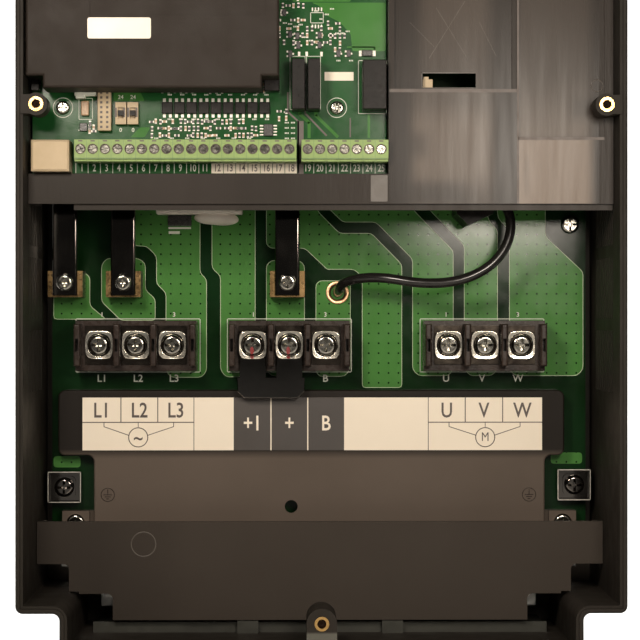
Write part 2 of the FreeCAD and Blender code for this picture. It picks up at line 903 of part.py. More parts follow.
def make_busbars():
    """Three plated strips that come down from behind the tray, turned back at the top."""
    bars = []
    for x in busbar_positions:
        half = busbar_width / 2
        strip = box(x - half, x + half, busbar_level, busbar_level + busbar_thickness,
                    busbar_low, busbar_high)
        leg = box(x - half, x + half, busbar_level, power_board_level,
                  busbar_high - busbar_thickness, busbar_high)
        hole = rod(x, busbar_screw_height, busbar_screw_radius + screw_gap,
                   busbar_level - 1, busbar_level + busbar_thickness + 1)
        bar = joined([strip, leg]).cut(hole)
        long_edges = [e for e in front_edges(bar, busbar_level)
                      if e.BoundBox.ZLength > busbar_width]
        bars.append(bar.makeFillet(busbar_edge_round, long_edges))
    return bars


def make_busbar_posts():
    """The brass posts on the power board that the busbars are screwed to."""
    posts = []
    for x in busbar_positions:
        block = box(x - post_width / 2, x + post_width / 2,
                    busbar_level + busbar_thickness, power_board_level, post_low,
                    post_high)
        bore_end = busbar_level + busbar_screw_length + screw_bore_margin
        posts.append(block.cut(rod(x, busbar_screw_height,
                                   busbar_screw_radius + screw_gap,
                                   busbar_level, bore_end)))
    return posts


def make_earth_blocks():
    """The two earth terminals beside the wiring guard."""
    blocks = []
    front = power_board_level - earth_block
    for x, z in earth_positions:
        block = box(x - earth_width / 2, x + earth_width / 2, front, power_board_level,
                    z - earth_height / 2, z + earth_height / 2)
        rim = box(x - earth_width / 2, x + earth_width / 2, front - earth_rim_height, front,
                  z - earth_height / 2, z + earth_height / 2)
        inner_x = earth_width / 2 - earth_rim_width
        inner_z = earth_height / 2 - earth_rim_width
        rim = rim.cut(box(x - inner_x, x + inner_x, front - earth_rim_height - 1, front + 1,
                          z - inner_z, z + inner_z))
        bore = rod(x, z, earth_screw_radius + screw_gap, front - 1,
                   front - washer_thickness + earth_screw_length + screw_bore_margin)
        blocks.append(joined([block, rim]).cut(bore))
    return blocks


# ---- Wiring guard, label, deck and gland plate ----------------------------------
def make_wiring_guard():
    """The moulded guard over the lower board: a broad top band and a narrower apron."""
    outline = [(-guard_lower_half, guard_low), (guard_lower_half, guard_low),
               (guard_lower_half, guard_shoulder), (guard_right, guard_shoulder),
               (guard_right, guard_high), (guard_left, guard_high),
               (guard_left, guard_shoulder), (-guard_lower_half, guard_shoulder)]
    body = prism(outline, guard_level, power_board_level)
    body = round_depth_edges(body, guard_round)
    body = body.makeFillet(0.8, front_edges(body, guard_level))
    inner = [(-guard_lower_half + guard_wall, guard_low - 1),
             (guard_lower_half - guard_wall, guard_low - 1),
             (guard_lower_half - guard_wall, guard_shoulder + guard_wall),
             (guard_right - guard_wall, guard_shoulder + guard_wall),
             (guard_right - guard_wall, guard_high - guard_wall),
             (guard_left + guard_wall, guard_high - guard_wall),
             (guard_left + guard_wall, guard_shoulder + guard_wall),
             (-guard_lower_half + guard_wall, guard_shoulder + guard_wall)]
    room = prism(inner, guard_level + guard_wall, power_board_level + 1)
    cutters = [room, rod(guard_hole[0], guard_hole[1], guard_hole_radius,
                         guard_level - 1, guard_level + guard_wall + 1)]
    ears = []
    ear_x, ear_z = low_standoff
    for side in (-1, 1):
        pad = box(side * ear_x - guard_ear_width / 2, side * ear_x + guard_ear_width / 2,
                  guard_ear_level, power_board_level, guard_ear_low, guard_ear_high)
        web = sorted((side * (guard_lower_half - guard_wall), side * ear_x))
        ears.append(pad)
        ears.append(box(web[0], web[1], power_board_level - guard_ear_web,
                        power_board_level, guard_ear_low, guard_ear_high))
        cutters.append(rod(side * ear_x, ear_z, board_screw_radius + screw_gap,
                           guard_ear_level - 1, power_board_level + 1))
    return joined([body] + ears).cut(cutters)


def make_terminal_label():
    """The printed strip on the guard that names the terminals."""
    x0, x1, z0, z1 = label_limits
    return box(x0, x1, guard_level - label_thickness, guard_level, z0, z1)


def make_cable_deck():
    """The plate in front of the cable entries, with four knock-out windows."""
    inner_x = inner_half - slide_gap
    plate = box(-inner_x, inner_x, deck_level, deck_level + deck_thickness, deck_low,
                deck_high)
    flange = box(-guard_lower_half, guard_lower_half, deck_level,
                 deck_level + deck_flange, deck_low, deck_low + deck_thickness)
    cutters = []
    front, back = deck_level - 1, deck_level + deck_flange + 1
    for side in (-1, 1):
        notch = sorted((side * (notch_inner_x - slide_gap), side * half_width))
        cutters.append(box(notch[0], notch[1], front, back, 0, notch_inner_z + slide_gap))
        for inner_edge, top in ((inner_half - side_window_width,
                                 notch_inner_z + side_window_height),
                                (notch_inner_x - base_window_width, base_window_high)):
            across = sorted((side * inner_edge, side * half_width))
            window = box(across[0], across[1], front, back, 0, top)
            cutters.append(round_depth_edges(window, window_round))
    return joined([plate, flange]).cut(cutters)


def make_gland_plate():
    """The plate over the hole in the base, with three cable holes, a rail and latches."""
    low = wall
    high = low + gland_thickness
    plate = box(-gland_half_width, gland_half_width, gland_front, gland_rear, low, high)
    rail = box(-gland_half_width, gland_half_width, gland_front,
               gland_front + gland_rail_thickness, low, low + gland_rail_height)
    pieces = [plate, rail]
    for side in (-1, 1):
        x = side * gland_latch_x
        pieces.append(box(x - gland_latch_width / 2, x + gland_latch_width / 2,
                          gland_front - gland_latch_depth,
                          gland_front + gland_rail_thickness, low,
                          low + gland_latch_height))
    middle = (gland_front + gland_rear) / 2
    holes = [post(x, middle, grommet_hole, low - 1, high + 1) for x in grommet_positions]
    return joined(pieces).cut(holes)


def make_cable_grommets():
    """Rubber rings in the gland plate's holes, gripping it above and below."""
    middle = (gland_front + gland_rear) / 2
    low = wall
    high = low + gland_thickness
    rings = []
    for x in grommet_positions:
        ring = joined([post(x, middle, grommet_hole, low - grommet_rise, high + grommet_rise),
                       post(x, middle, grommet_outer, high, high + grommet_rise),
                       post(x, middle, grommet_outer, low - grommet_rise, low)])
        rings.append(ring.cut(post(x, middle, grommet_bore, 0, high + grommet_rise + 1)))
    return rings


# ---- Control tray and board -----------------------------------------------------
def make_control_tray():
    """The moulded tray: a lip and band, stepped panels, and a pocket for the board."""
    top = drive_height - tray_top_gap
    inner_x = inner_half - slide_gap
    sheet_back = tray_level + tray_sheet
    floor_back = tray_floor_level + tray_sheet
    notch_top = drive_height - notch_inner_z - slide_gap
    pieces = [
        box(-inner_x, inner_x, tray_level, sheet_back, tray_band_low, tray_band_high),
        box(tray_lip_left, inner_x, tray_level + tray_lip_depth, sheet_back + tray_lip_depth,
            tray_lip_low, tray_band_low + tray_sheet),
        box(-inner_x, inner_x, tray_level, floor_back, tray_band_high - tray_sheet,
            tray_band_high),
        box(pocket_right, pocket_right + tray_sheet, tray_level, floor_back,
            tray_band_high - tray_sheet, top),
        box(-inner_x, pocket_right + tray_sheet, tray_floor_level, floor_back,
            tray_band_high - tray_sheet, top),
        box(pocket_right, panel_split_x, tray_level, sheet_back, tray_band_low,
            left_step_height),
        box(pocket_right, panel_split_x, tray_level + panel_step, sheet_back + panel_step,
            left_step_height - tray_sheet, top),
        box(panel_split_x - tray_sheet, inner_x, tray_level, sheet_back,
            tray_band_low, right_step_height),
        box(panel_split_x - tray_sheet, inner_x, tray_level + panel_step / 2,
            sheet_back + panel_step / 2, right_step_height - tray_sheet, top),
        box(inner_half - ledge_width, inner_x, tray_level, floor_back, tray_band_low, top),
    ]
    for x, z in control_screw_places():
        pieces.append(rod(x, z, tray_boss_radius, control_board_level + board_thickness,
                          tray_floor_level + tray_sheet))
    tray = joined(pieces)
    x0, x1, z0, z1 = slot_limits
    cutters = [box(x0, x1, tray_level - 1, floor_back, z0, z1)]
    for x, z in control_screw_places():
        cutters.append(rod(x, z, control_screw_radius + screw_gap, control_board_level,
                           control_board_level + control_screw_length + screw_bore_margin))
    for side in (-1, 1):
        notch = sorted((side * (notch_inner_x - slide_gap), side * half_width))
        cutters.append(box(notch[0], notch[1], 0, drive_depth, notch_top, drive_height))
        x, z = side_insert(side)
        arm = sorted((x - side * (boss_radius + slide_gap), side * half_width))
        reach = boss_radius + slide_gap
        cutters.append(box(arm[0], arm[1], 0, insert_boss_depth + slide_gap, z - reach,
                           z + reach))
    return tray.cut(cutters)


def make_control_board():
    """The control circuit board, screwed to the tray's four bosses."""
    back = control_board_level + board_thickness
    board = box(control_left, control_right, control_board_level, back, control_low,
                drive_height - control_top_gap)
    holes = [rod(x, z, control_screw_radius + screw_gap, control_board_level - 1, back + 1)
             for x, z in control_screw_places()]
    return board.cut(holes)


def strip_screw_places(left, ways):
    """The screw centres along one strip of control terminals."""
    return [left + strip_end_wall + (i + 0.5) * strip_pitch for i in range(ways)]


def make_control_terminals():
    """The two strips of screw terminals, with a wire mouth under each screw."""
    strips = []
    for left, ways in ((wide_strip_left, wide_strip_ways),
                       (narrow_strip_left, narrow_strip_ways)):
        right = left + ways * strip_pitch + 2 * strip_end_wall
        body = box(left, right, terminal_strip_level, control_board_level,
                   strip_low + strip_lip, strip_high)
        lip = box(left, right, terminal_strip_level + strip_lip_drop, control_board_level,
                  strip_low, strip_low + strip_lip)
        cutters = []
        for x in strip_screw_places(left, ways):
            cutters.append(rod(x, strip_screw_height, strip_screw_radius + screw_gap,
                               terminal_strip_level - 1, terminal_strip_level
                               + strip_screw_recess + strip_screw_length))
            cutters.append(box(x - strip_screw_radius, x + strip_screw_radius,
                               terminal_strip_level + 5.0, control_board_level - 6.0,
                               strip_low - 1, strip_low + 5.0))
        strips.append(body.fuse(lip).removeSplitter().cut(cutters))
    return strips


def make_control_terminal_screws():
    """The small slotted screws of the control terminals."""
    screws = []
    front = terminal_strip_level + strip_screw_recess
    for left, ways in ((wide_strip_left, wide_strip_ways),
                       (narrow_strip_left, narrow_strip_ways)):
        for x in strip_screw_places(left, ways):
            screw = rod(x, strip_screw_height, strip_screw_radius, front,
                        front + strip_screw_length)
            slot = Part.makeBox(2 * strip_screw_radius + 1, 0.8, 0.55,
                                Vector(-strip_screw_radius - 0.5, 0, -0.275))
            slot.rotate(Vector(0, 0, 0), Vector(0, 1, 0), 37.0 * (x % strip_pitch) + x)
            slot.translate(Vector(x, rim_y + front, strip_screw_height))
            screws.append(screw.cut(slot))
    return screws


def make_comm_port():
    """The modular socket at the left end of the terminal strip."""
    x0, x1, z0, z1 = port_limits
    body = box(x0, x1, terminal_strip_level, control_board_level, max(z0, control_low), z1)
    return body.makeChamfer(port_chamfer, front_edges(body, terminal_strip_level))


def make_relays():
    """The three relays above the narrow terminal strip."""
    relays = []
    for x0, x1, z0, z1 in relay_limits:
        relay = box(x0, x1, relay_level, control_board_level, z0, z1)
        relays.append(relay.makeFillet(0.4, front_edges(relay, relay_level)))
    return relays


def switch_middle():
    """The height of the middle of both slide switches."""
    return switch_low + switch_height / 2


def make_switch_bodies():
    """The two slide switches' bodies, each with a slot for its knob."""
    bodies = []
    front = control_board_level - switch_rise
    middle = switch_middle()
    for x in switch_centres:
        body = box(x - switch_width / 2, x + switch_width / 2, front, control_board_level,
                   switch_low, switch_low + switch_height)
        slot = box(x - switch_slot_width / 2, x + switch_slot_width / 2, front - 1,
                   front + switch_slot_depth, middle - switch_slot / 2,
                   middle + switch_slot / 2)
        bodies.append(body.cut(slot))
    return bodies


def make_switch_knob(x):
    """The knob of one slide switch, standing at the middle of its slot."""
    front = control_board_level - switch_rise
    half = switch_slot_width / 2 - shaft_gap
    middle = switch_middle()
    return box(x - half, x + half, front - knob_rise, front + switch_slot_depth - shaft_gap,
               middle - knob_length / 2, middle + knob_length / 2)


def make_option_cover():
    """The cover over the option slot: a notched plate with skirts and two feet."""
    high = drive_height - option_top_gap
    notch_x, notch_z = option_notch
    corner_x = notch_inner_x - edge_gap
    shoulder = drive_height - notch_inner_z - edge_gap
    outline = [(option_left + notch_x, option_low), (option_right - notch_x, option_low),
               (option_right - notch_x, option_low + notch_z),
               (option_right, option_low + notch_z), (option_right, high),
               (-corner_x, high), (-corner_x, shoulder), (option_left, shoulder),
               (option_left, option_low + notch_z),
               (option_left + notch_x, option_low + notch_z)]
    plate = prism(outline, option_cover_level, option_skirt_end)
    plate = plate.makeFillet(option_round, front_edges(plate, option_cover_level))
    room = box(option_left + option_sheet, option_right - option_sheet,
               option_cover_level + option_sheet, option_skirt_end + 1,
               option_low + notch_z + option_sheet, shoulder - option_sheet)
    pocket = box(option_pocket[0], option_pocket[1], option_cover_level - 1,
                 option_cover_level + option_pocket_depth, option_pocket[2],
                 drive_height - option_pocket_top_gap)
    feet = []
    for z in (option_low + notch_z + option_foot, shoulder - 2 * option_foot):
        feet.append(box(option_right - option_foot, option_right,
                        option_skirt_end - option_sheet, control_board_level, z,
                        z + option_foot))
    return joined([plate.cut([room, pocket])] + feet)


# ---- Build ----------------------------------------------------------------------
def make_pieces():
    """Every node's name with its solids."""
    pieces = {
        "housing": make_housing(),
        "brass_inserts": make_brass_inserts(),
        "rear_chassis": make_rear_chassis(),
        "heat_sink": make_heat_sink(),
        "fan_frames": [make_fan_frame(-fan_offset), make_fan_frame(fan_offset)],
        "fan_rotor_left": make_fan_rotor(-fan_offset),
        "fan_rotor_right": make_fan_rotor(fan_offset),
        "power_modules": make_power_modules(),
        "power_board": make_power_board(),
        "board_standoffs": make_board_standoffs(),
        "board_screws": make_board_screws(),
        "dc_capacitors": make_dc_capacitors(),
        "surge_absorber": make_surge_absorber(),
        "current_sensor": make_current_sensor(),
        "sense_lead": make_sense_lead(),
        "input_terminal_block": make_terminal_block(input_terminal_x),
        "dc_terminal_block": make_terminal_block(dc_terminal_x),
        "output_terminal_block": make_terminal_block(output_terminal_x),
        "terminal_plates": make_terminal_plates(),
        "dc_link_bar": make_dc_link_bar(),
        "busbars": make_busbars(),
        "busbar_posts": make_busbar_posts(),
        "earth_blocks": make_earth_blocks(),
        "wiring_guard": make_wiring_guard(),
        "terminal_label": make_terminal_label(),
        "cable_deck": make_cable_deck(),
        "gland_plate": make_gland_plate(),
        "cable_grommets": make_cable_grommets(),
        "control_tray": make_control_tray(),
        "control_board": make_control_board(),
        "control_terminals": make_control_terminals(),
        "control_terminal_screws": make_control_terminal_screws(),
        "comm_port": make_comm_port(),
        "relays": make_relays(),
        "switch_bodies": make_switch_bodies(),
        "switch_knob_left": make_switch_knob(switch_centres[0]),
        "switch_knob_right": make_switch_knob(switch_centres[1]),
        "option_cover": make_option_cover(),
    }
    for block, block_x in (("input", input_terminal_x), ("dc", dc_terminal_x),
                           ("output", output_terminal_x)):
        for number, x in enumerate(pole_centres(block_x), start=1):
            seat = washer_seat(x)
            head_seat = seat - washer_thickness
            pieces[f"{block}_washer_{number}"] = make_washer(
                x, terminal_height, seat, washer_size, terminal_screw_radius)
            pieces[f"{block}_screw_{number}"] = pan_screw(
                x, terminal_height, head_seat, terminal_screw_head, terminal_head_height,
                terminal_screw_radius, terminal_screw_length)
    for name, (x, z) in zip(("left", "right"), earth_positions):
        seat = power_board_level - earth_block
        pieces[f"earth_washer_{name}"] = make_washer(x, z, seat, earth_washer_size,
                                                     earth_screw_radius)
        pieces[f"earth_screw_{name}"] = pan_screw(
            x, z, seat - washer_thickness, earth_screw_head, earth_head_height,
            earth_screw_radius, earth_screw_length)
    return pieces


def main():
    os.makedirs("parts", exist_ok=True)
    for name, made in make_pieces().items():
        solids = []
        for shape in made if isinstance(made, list) else [made]:
            solids += shape.Solids
        node = solids[0] if len(solids) == 1 else Part.makeCompound(solids)
        node.exportStep(os.path.join("parts", f"{name}.step"))
        print(f"{name}: {len(solids)} solids, {node.Volume / 1000:.2f} cm3, "
              f"valid {node.isValid()}")


main()
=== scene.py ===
# %% [markdown]
# # A variable frequency drive with its front covers off
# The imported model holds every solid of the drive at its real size. This file gives those solids
# their finishes and adds what is printed, soldered or poured onto them: copper areas, chips,
# lettering and the black lead. Everything is in metres, in the drive's own frame: X runs across,
# Y from the front to the wall, Z up.

# %% Load the fixed frame
import math

import bmesh
import bpy
import numpy as np
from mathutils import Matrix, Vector


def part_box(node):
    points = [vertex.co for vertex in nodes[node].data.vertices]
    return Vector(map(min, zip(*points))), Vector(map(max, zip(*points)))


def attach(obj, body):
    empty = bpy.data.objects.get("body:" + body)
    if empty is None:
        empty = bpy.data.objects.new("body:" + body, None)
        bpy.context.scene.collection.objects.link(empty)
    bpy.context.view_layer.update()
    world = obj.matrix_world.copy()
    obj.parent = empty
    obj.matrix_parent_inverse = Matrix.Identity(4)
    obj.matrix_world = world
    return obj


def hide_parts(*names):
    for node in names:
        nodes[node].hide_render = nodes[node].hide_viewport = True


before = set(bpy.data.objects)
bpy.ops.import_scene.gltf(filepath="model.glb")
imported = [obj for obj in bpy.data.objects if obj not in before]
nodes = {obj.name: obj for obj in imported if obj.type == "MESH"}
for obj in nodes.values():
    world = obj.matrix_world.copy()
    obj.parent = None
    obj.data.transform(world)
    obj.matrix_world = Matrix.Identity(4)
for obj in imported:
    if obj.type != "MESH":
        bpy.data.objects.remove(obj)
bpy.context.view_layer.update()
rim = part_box("housing")[0].y
print(len(nodes), "nodes; the rim is at y =", round(rim, 4))

# %% [markdown]
# ## Measures
# A drive is laid out in millimetres, so the places below are written that way: x across from the
# middle, z up from the base. Depths come from the frame: a chip on a board starts at the board's
# own face, wherever the model puts it.


# %% Millimetres and layer faces
mm = 0.001


def face_of(node):
    """The depth (y) of a node's front face."""
    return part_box(node)[0].y


power_face = face_of("power_board")
control_face = face_of("control_board")
print("power board face", round(power_face, 4), "control board face", round(control_face, 4))

# %% [markdown]
# ## Camera
# The lens stands about a metre in front of the rim, level with the power terminals. A long lens
# from there shows a little of each side wall, as a product picture does. Turning it a fraction of
# a degree puts the drive a touch left of the optical axis.

# %% Camera
camera_data = bpy.data.cameras.new("camera")
camera_data.sensor_width = 36.0
camera_data.lens = 137.9
camera_data.clip_end = 50.0
camera = bpy.data.objects.new("camera", camera_data)
bpy.context.scene.collection.objects.link(camera)
camera.location = (-0.013, rim - 1.0, 0.137)
camera.rotation_euler = (math.radians(90.05), 0.0, math.radians(-0.70))
bpy.context.scene.camera = camera
print("camera one metre in front of the rim, lens", camera_data.lens)

# %% [markdown]
# ## Materials
# Every finish is built from noise in the piece's own coordinates, so it needs no image: one noise
# shifts the colour, another the roughness, and a fine one drives a bump. The helper below wires
# these the same way each time, and the finishes differ only in their numbers.


# %% Finish helper
def link(tree, source, target):
    """Joins one node's output socket to another's input socket."""
    tree.links.new(source, target)


def noise_node(tree, coordinates, scale, detail=4.0, stretch=(1, 1, 1)):
    """A noise whose cells are 1/scale metres across, stretched along the axes."""
    mapping = tree.nodes.new("ShaderNodeMapping")
    mapping.inputs["Scale"].default_value = stretch
    noise = tree.nodes.new("ShaderNodeTexNoise")
    noise.inputs["Scale"].default_value = scale
    noise.inputs["Detail"].default_value = detail
    link(tree, coordinates, mapping.inputs["Vector"])
    link(tree, mapping.outputs["Vector"], noise.inputs["Vector"])
    return noise.outputs["Fac"]


def remap(tree, value, low, high, start=0.3, stop=0.7):
    """A value from start to stop becomes one from low to high."""
    node = tree.nodes.new("ShaderNodeMapRange")
    node.inputs["From Min"].default_value = start
    node.inputs["From Max"].default_value = stop
    node.inputs["To Min"].default_value = low
    node.inputs["To Max"].default_value = high
    link(tree, value, node.inputs["Value"])
    return node.outputs["Result"]


def blend_colours(tree, factor, first, second):
    """A colour that goes from first to second as the factor goes from 0 to 1."""
    node = tree.nodes.new("ShaderNodeMix")
    node.data_type = "RGBA"
    for socket, colour in ((node.inputs[6], first), (node.inputs[7], second)):
        if isinstance(colour, bpy.types.NodeSocket):
            link(tree, colour, socket)
        else:
            socket.default_value = (*colour, 1.0)
    link(tree, factor, node.inputs[0])
    return node.outputs[2]


def finish(name, colour, other, roughness, grain, bump, metallic=0.0, mottle=60.0,
           stretch=(1, 1, 1), **constants):
    """A finish: colour drifts to other over the mottle noise, roughness runs between two
    values, and a noise of the given grain raises the surface by the bump strength."""
    material = bpy.data.materials.new(name)
    material.use_nodes = True
    tree = material.node_tree
    shader = tree.nodes["Principled BSDF"]
    coordinates = tree.nodes.new("ShaderNodeTexCoord").outputs["Object"]
    drift = noise_node(tree, coordinates, mottle, stretch=stretch)
    link(tree, blend_colours(tree, remap(tree, drift, 0, 1), colour, other),
         shader.inputs["Base Color"])
    wear = noise_node(tree, coordinates, mottle * 4.3, stretch=stretch)
    link(tree, remap(tree, wear, *roughness), shader.inputs["Roughness"])
    fine = noise_node(tree, coordinates, grain, detail=2.0, stretch=stretch)
    raise_node = tree.nodes.new("ShaderNodeBump")
    raise_node.inputs["Strength"].default_value = bump
    raise_node.inputs["Distance"].default_value = 0.0002
    link(tree, fine, raise_node.inputs["Height"])
    link(tree, raise_node.outputs["Normal"], shader.inputs["Normal"])
    shader.inputs["Metallic"].default_value = metallic
    for key, value in constants.items():
        shader.inputs[key.replace("_", " ")].default_value = value
    return material


# %% [markdown]
# ## The finishes
# Moulded plastic has a fine spark-eroded grain and a slight unevenness of tone. Plated metal is
# almost a mirror, so its look comes from what it reflects; only its roughness drifts. Two of the
# nickels are also darkened, as painted shade of recesses. The tray is polished plastic, rubbed up
# and down, so its noise is stretched along Z.

# %% Plastics
housing_plastic = finish("housing_plastic", (0.022, 0.019, 0.015), (0.029, 0.024, 0.020),
                         (0.46, 0.58), 2600, 0.25, mottle=22, Specular_IOR_Level=0.12)
guard_plastic = finish("guard_plastic", (0.100, 0.078, 0.062), (0.118, 0.092, 0.074),
                       (0.42, 0.54), 3000, 0.22, mottle=18, Specular_IOR_Level=0.12)
deck_plastic = finish("deck_plastic", (0.044, 0.035, 0.028), (0.052, 0.042, 0.034),
                      (0.42, 0.54), 3000, 0.22, mottle=18, Specular_IOR_Level=0.12)
tray_plastic = finish("tray_plastic", (0.024, 0.019, 0.015), (0.031, 0.024, 0.020),
                      (0.30, 0.42), 900, 0.25, mottle=26, stretch=(1, 1, 0.10),
                      Specular_IOR_Level=0.12)
cover_plastic = finish("cover_plastic", (0.027, 0.021, 0.017), (0.032, 0.025, 0.021),
                       (0.46, 0.58), 3200, 0.25, mottle=20, Specular_IOR_Level=0.12)
block_plastic = finish("block_plastic", (0.022, 0.014, 0.011), (0.042, 0.030, 0.024),
                       (0.20, 0.36), 1500, 0.20, mottle=90, Specular_IOR_Level=0.22)
black_plastic = finish("black_plastic", (0.008, 0.007, 0.006), (0.015, 0.012, 0.011),
                       (0.24, 0.42), 2600, 0.20, mottle=160, Specular_IOR_Level=0.12)
terminal_green = finish("terminal_green", (0.225, 0.325, 0.105), (0.275, 0.385, 0.135),
                        (0.30, 0.42), 1800, 0.12, mottle=70, Specular_IOR_Level=0.22)
cream_plastic = finish("cream_plastic", (0.50, 0.39, 0.25), (0.58, 0.46, 0.31),
                       (0.38, 0.52), 2000, 0.15, mottle=90, Specular_IOR_Level=0.12)
rubber = finish("rubber", (0.012, 0.012, 0.012), (0.022, 0.021, 0.020), (0.6, 0.8), 1800, 0.4)
can_sleeve = finish("can_sleeve", (0.015, 0.016, 0.022), (0.022, 0.023, 0.030),
                    (0.20, 0.32), 700, 0.10)
print("plastics ready")

# %% Metals
nickel = finish("nickel", (0.36, 0.345, 0.30), (0.50, 0.48, 0.43), (0.10, 0.18), 1400, 0.08,
                metallic=1.0, mottle=200)
# Darker than plain nickel: partly painted shade, which keeps the recessed earth blocks near-black.
mirror_nickel = finish("mirror_nickel", (0.13, 0.118, 0.105), (0.17, 0.155, 0.14), (0.05, 0.09),
                       300, 0.0, metallic=1.0, mottle=30)
# Darker still: painted shade, which keeps the terminal plates in their recesses near-black.
plate_nickel = finish("plate_nickel", (0.05, 0.04, 0.034), (0.09, 0.075, 0.06), (0.14, 0.2),
                      900, 0.03, metallic=1.0, mottle=120)
brass = finish("brass", (0.46, 0.28, 0.10), (0.62, 0.40, 0.16), (0.14, 0.22), 1500, 0.10,
               metallic=1.0, mottle=200)
post_brass = finish("post_brass", (0.10, 0.065, 0.028), (0.20, 0.13, 0.06), (0.22, 0.36), 900,
                    0.15, metallic=1.0, mottle=160)
copper = finish("copper", (0.62, 0.36, 0.20), (0.80, 0.50, 0.30), (0.25, 0.45), 900, 0.20,
                metallic=1.0, mottle=400)
solder = finish("solder", (0.42, 0.40, 0.35), (0.60, 0.58, 0.52), (0.30, 0.50), 1500, 0.3,
                metallic=0.5, mottle=700)
zinc_steel = finish("zinc_steel", (0.50, 0.50, 0.49), (0.62, 0.62, 0.61), (0.28, 0.45), 500,
                    0.12, metallic=1.0, mottle=60)
dark_steel = finish("dark_steel", (0.045, 0.045, 0.038), (0.065, 0.065, 0.055), (0.35, 0.5),
                    500, 0.12, metallic=0.6, mottle=60)
sink_aluminium = finish("sink_aluminium", (0.58, 0.58, 0.58), (0.68, 0.68, 0.68),
                        (0.32, 0.48), 1600, 0.35, metallic=1.0, mottle=60,
                        stretch=(1, 1, 0.03))
print("metals ready")

# %% Prints, boards and the rest
silk_white = finish("silk_white", (0.66, 0.68, 0.58), (0.78, 0.79, 0.70), (0.5, 0.65), 2500, 0.3)
# Dark ink for print, also used as painted shade in holes, slots and screw wells.
ink_and_painted_shade = finish("ink_and_painted_shade", (0.075, 0.055, 0.045), (0.095, 0.070, 0.058), (0.4, 0.5), 2500, 0.1)
label_cream = finish("label_cream", (0.86, 0.76, 0.62), (0.90, 0.80, 0.66), (0.34, 0.46), 900,
                     0.06, mottle=16)
label_dark = finish("label_dark", (0.040, 0.032, 0.028), (0.050, 0.040, 0.034), (0.34, 0.46),
                    900, 0.06, mottle=16)
ceramic_white = finish("ceramic_white", (0.70, 0.63, 0.55), (0.84, 0.77, 0.68), (0.35, 0.6),
                       600, 0.6, mottle=120)
resistor_body = finish("resistor_body", (0.012, 0.010, 0.010), (0.05, 0.045, 0.04),
                       (0.2, 0.4), 1500, 0.2, mottle=900)
capacitor_body = finish("capacitor_body", (0.34, 0.20, 0.11), (0.52, 0.36, 0.22), (0.3, 0.5),
                        1500, 0.2, mottle=900)
red_paint = finish("red_paint", (0.16, 0.004, 0.006), (0.24, 0.008, 0.010), (0.2, 0.4), 900, 0.5)
resist_dark = finish("resist_dark", (0.003, 0.016, 0.003), (0.006, 0.028, 0.008), (0.12, 0.18),
                     1200, 0.03, mottle=40, Specular_IOR_Level=0.2)
print("prints and boards ready")

# %% [markdown]
# ### Copper areas under green lacquer
# Where copper lies under the lacquer the board looks lighter. The big areas are stitched with
# rows of small holes, which the shader draws: the position across and up is divided into square
# cells, and a point nearer to its cell's middle than the hole's radius turns dark.


# %% Perforated resist
def perforated(name, colour, other, pitch, radius, hole):
    """The resist finish with a dark round hole in the middle of every cell of the pitch."""
    material = finish(name, colour, other, (0.12, 0.18), 1200, 0.03, mottle=30,
                      Specular_IOR_Level=0.25)
    tree = material.node_tree
    shader = tree.nodes["Principled BSDF"]
    base = shader.inputs["Base Color"].links[0].from_socket
    coordinates = tree.nodes.new("ShaderNodeTexCoord").outputs["Object"]
    split = tree.nodes.new("ShaderNodeSeparateXYZ")
    link(tree, coordinates, split.inputs["Vector"])
    offsets = []
    for axis in ("X", "Z"):
        cell = tree.nodes.new("ShaderNodeMath")
        cell.operation = "PINGPONG"
        cell.inputs[1].default_value = pitch / 2
        link(tree, split.outputs[axis], cell.inputs[0])
        offsets.append(cell.outputs[0])
    join = tree.nodes.new("ShaderNodeCombineXYZ")
    link(tree, offsets[0], join.inputs["X"])
    link(tree, offsets[1], join.inputs["Z"])
    distance = tree.nodes.new("ShaderNodeVectorMath")
    distance.operation = "LENGTH"
    link(tree, join.outputs["Vector"], distance.inputs[0])
    mask = remap(tree, distance.outputs["Value"], 1, 0, radius * 0.7, radius * 1.2)
    link(tree, blend_colours(tree, mask, base, hole), shader.inputs["Base Color"])
    return material


def toned(material, low, high, tone, soften=3 * mm):
    """Multiplies a finish's colour by the tone inside a box given by its low and high
    corners; each side of the box fades over the softening distance."""
    tree = material.node_tree
    shader = tree.nodes["Principled BSDF"]
    base = shader.inputs["Base Color"].links[0].from_socket
    split = tree.nodes.new("ShaderNodeSeparateXYZ")
    link(tree, tree.nodes.new("ShaderNodeTexCoord").outputs["Object"], split.inputs["Vector"])
    inside = None
    for axis, start, stop in zip("XYZ", low, high):
        for edge, way in ((start, 1), (stop, -1)):
            if edge is None:
                continue
            step = remap(tree, split.outputs[axis], 0, 1, edge - way * soften / 2,
                         edge + way * soften / 2)
            if inside is None:
                inside = step
            else:
                times = tree.nodes.new("ShaderNodeMath")
                times.operation = "MULTIPLY"
                link(tree, inside, times.inputs[0])
                link(tree, step, times.inputs[1])
                inside = times.outputs[0]
    tint = tree.nodes.new("ShaderNodeMix")
    tint.data_type = "RGBA"
    tint.blend_type = "MULTIPLY"
    tint.inputs[7].default_value = (*tone, 1.0)
    link(tree, base, tint.inputs[6])
    link(tree, inside, tint.inputs[0])
    link(tree, tint.outputs[2], shader.inputs["Base Color"])


everywhere = (None, None, None)
# The guard is darkened to about an eighth above z = 79 mm.
toned(guard_plastic, (None, None, 79 * mm), everywhere, (0.13, 0.13, 0.13), 4 * mm)
# Painted shade: the deck is darkened on its left part, fading in over 40 mm about x = -75 mm.
toned(deck_plastic, everywhere, (-75 * mm, None, None), (0.7, 0.7, 0.7), 40 * mm)
# The housing is made about five times paler along the front of its bottom rim, below z = 10 mm.
toned(housing_plastic, (-94.5 * mm, None, None), (95.5 * mm, rim + 1 * mm, 10 * mm),
      (4.6, 5.4, 5.6), 1 * mm)
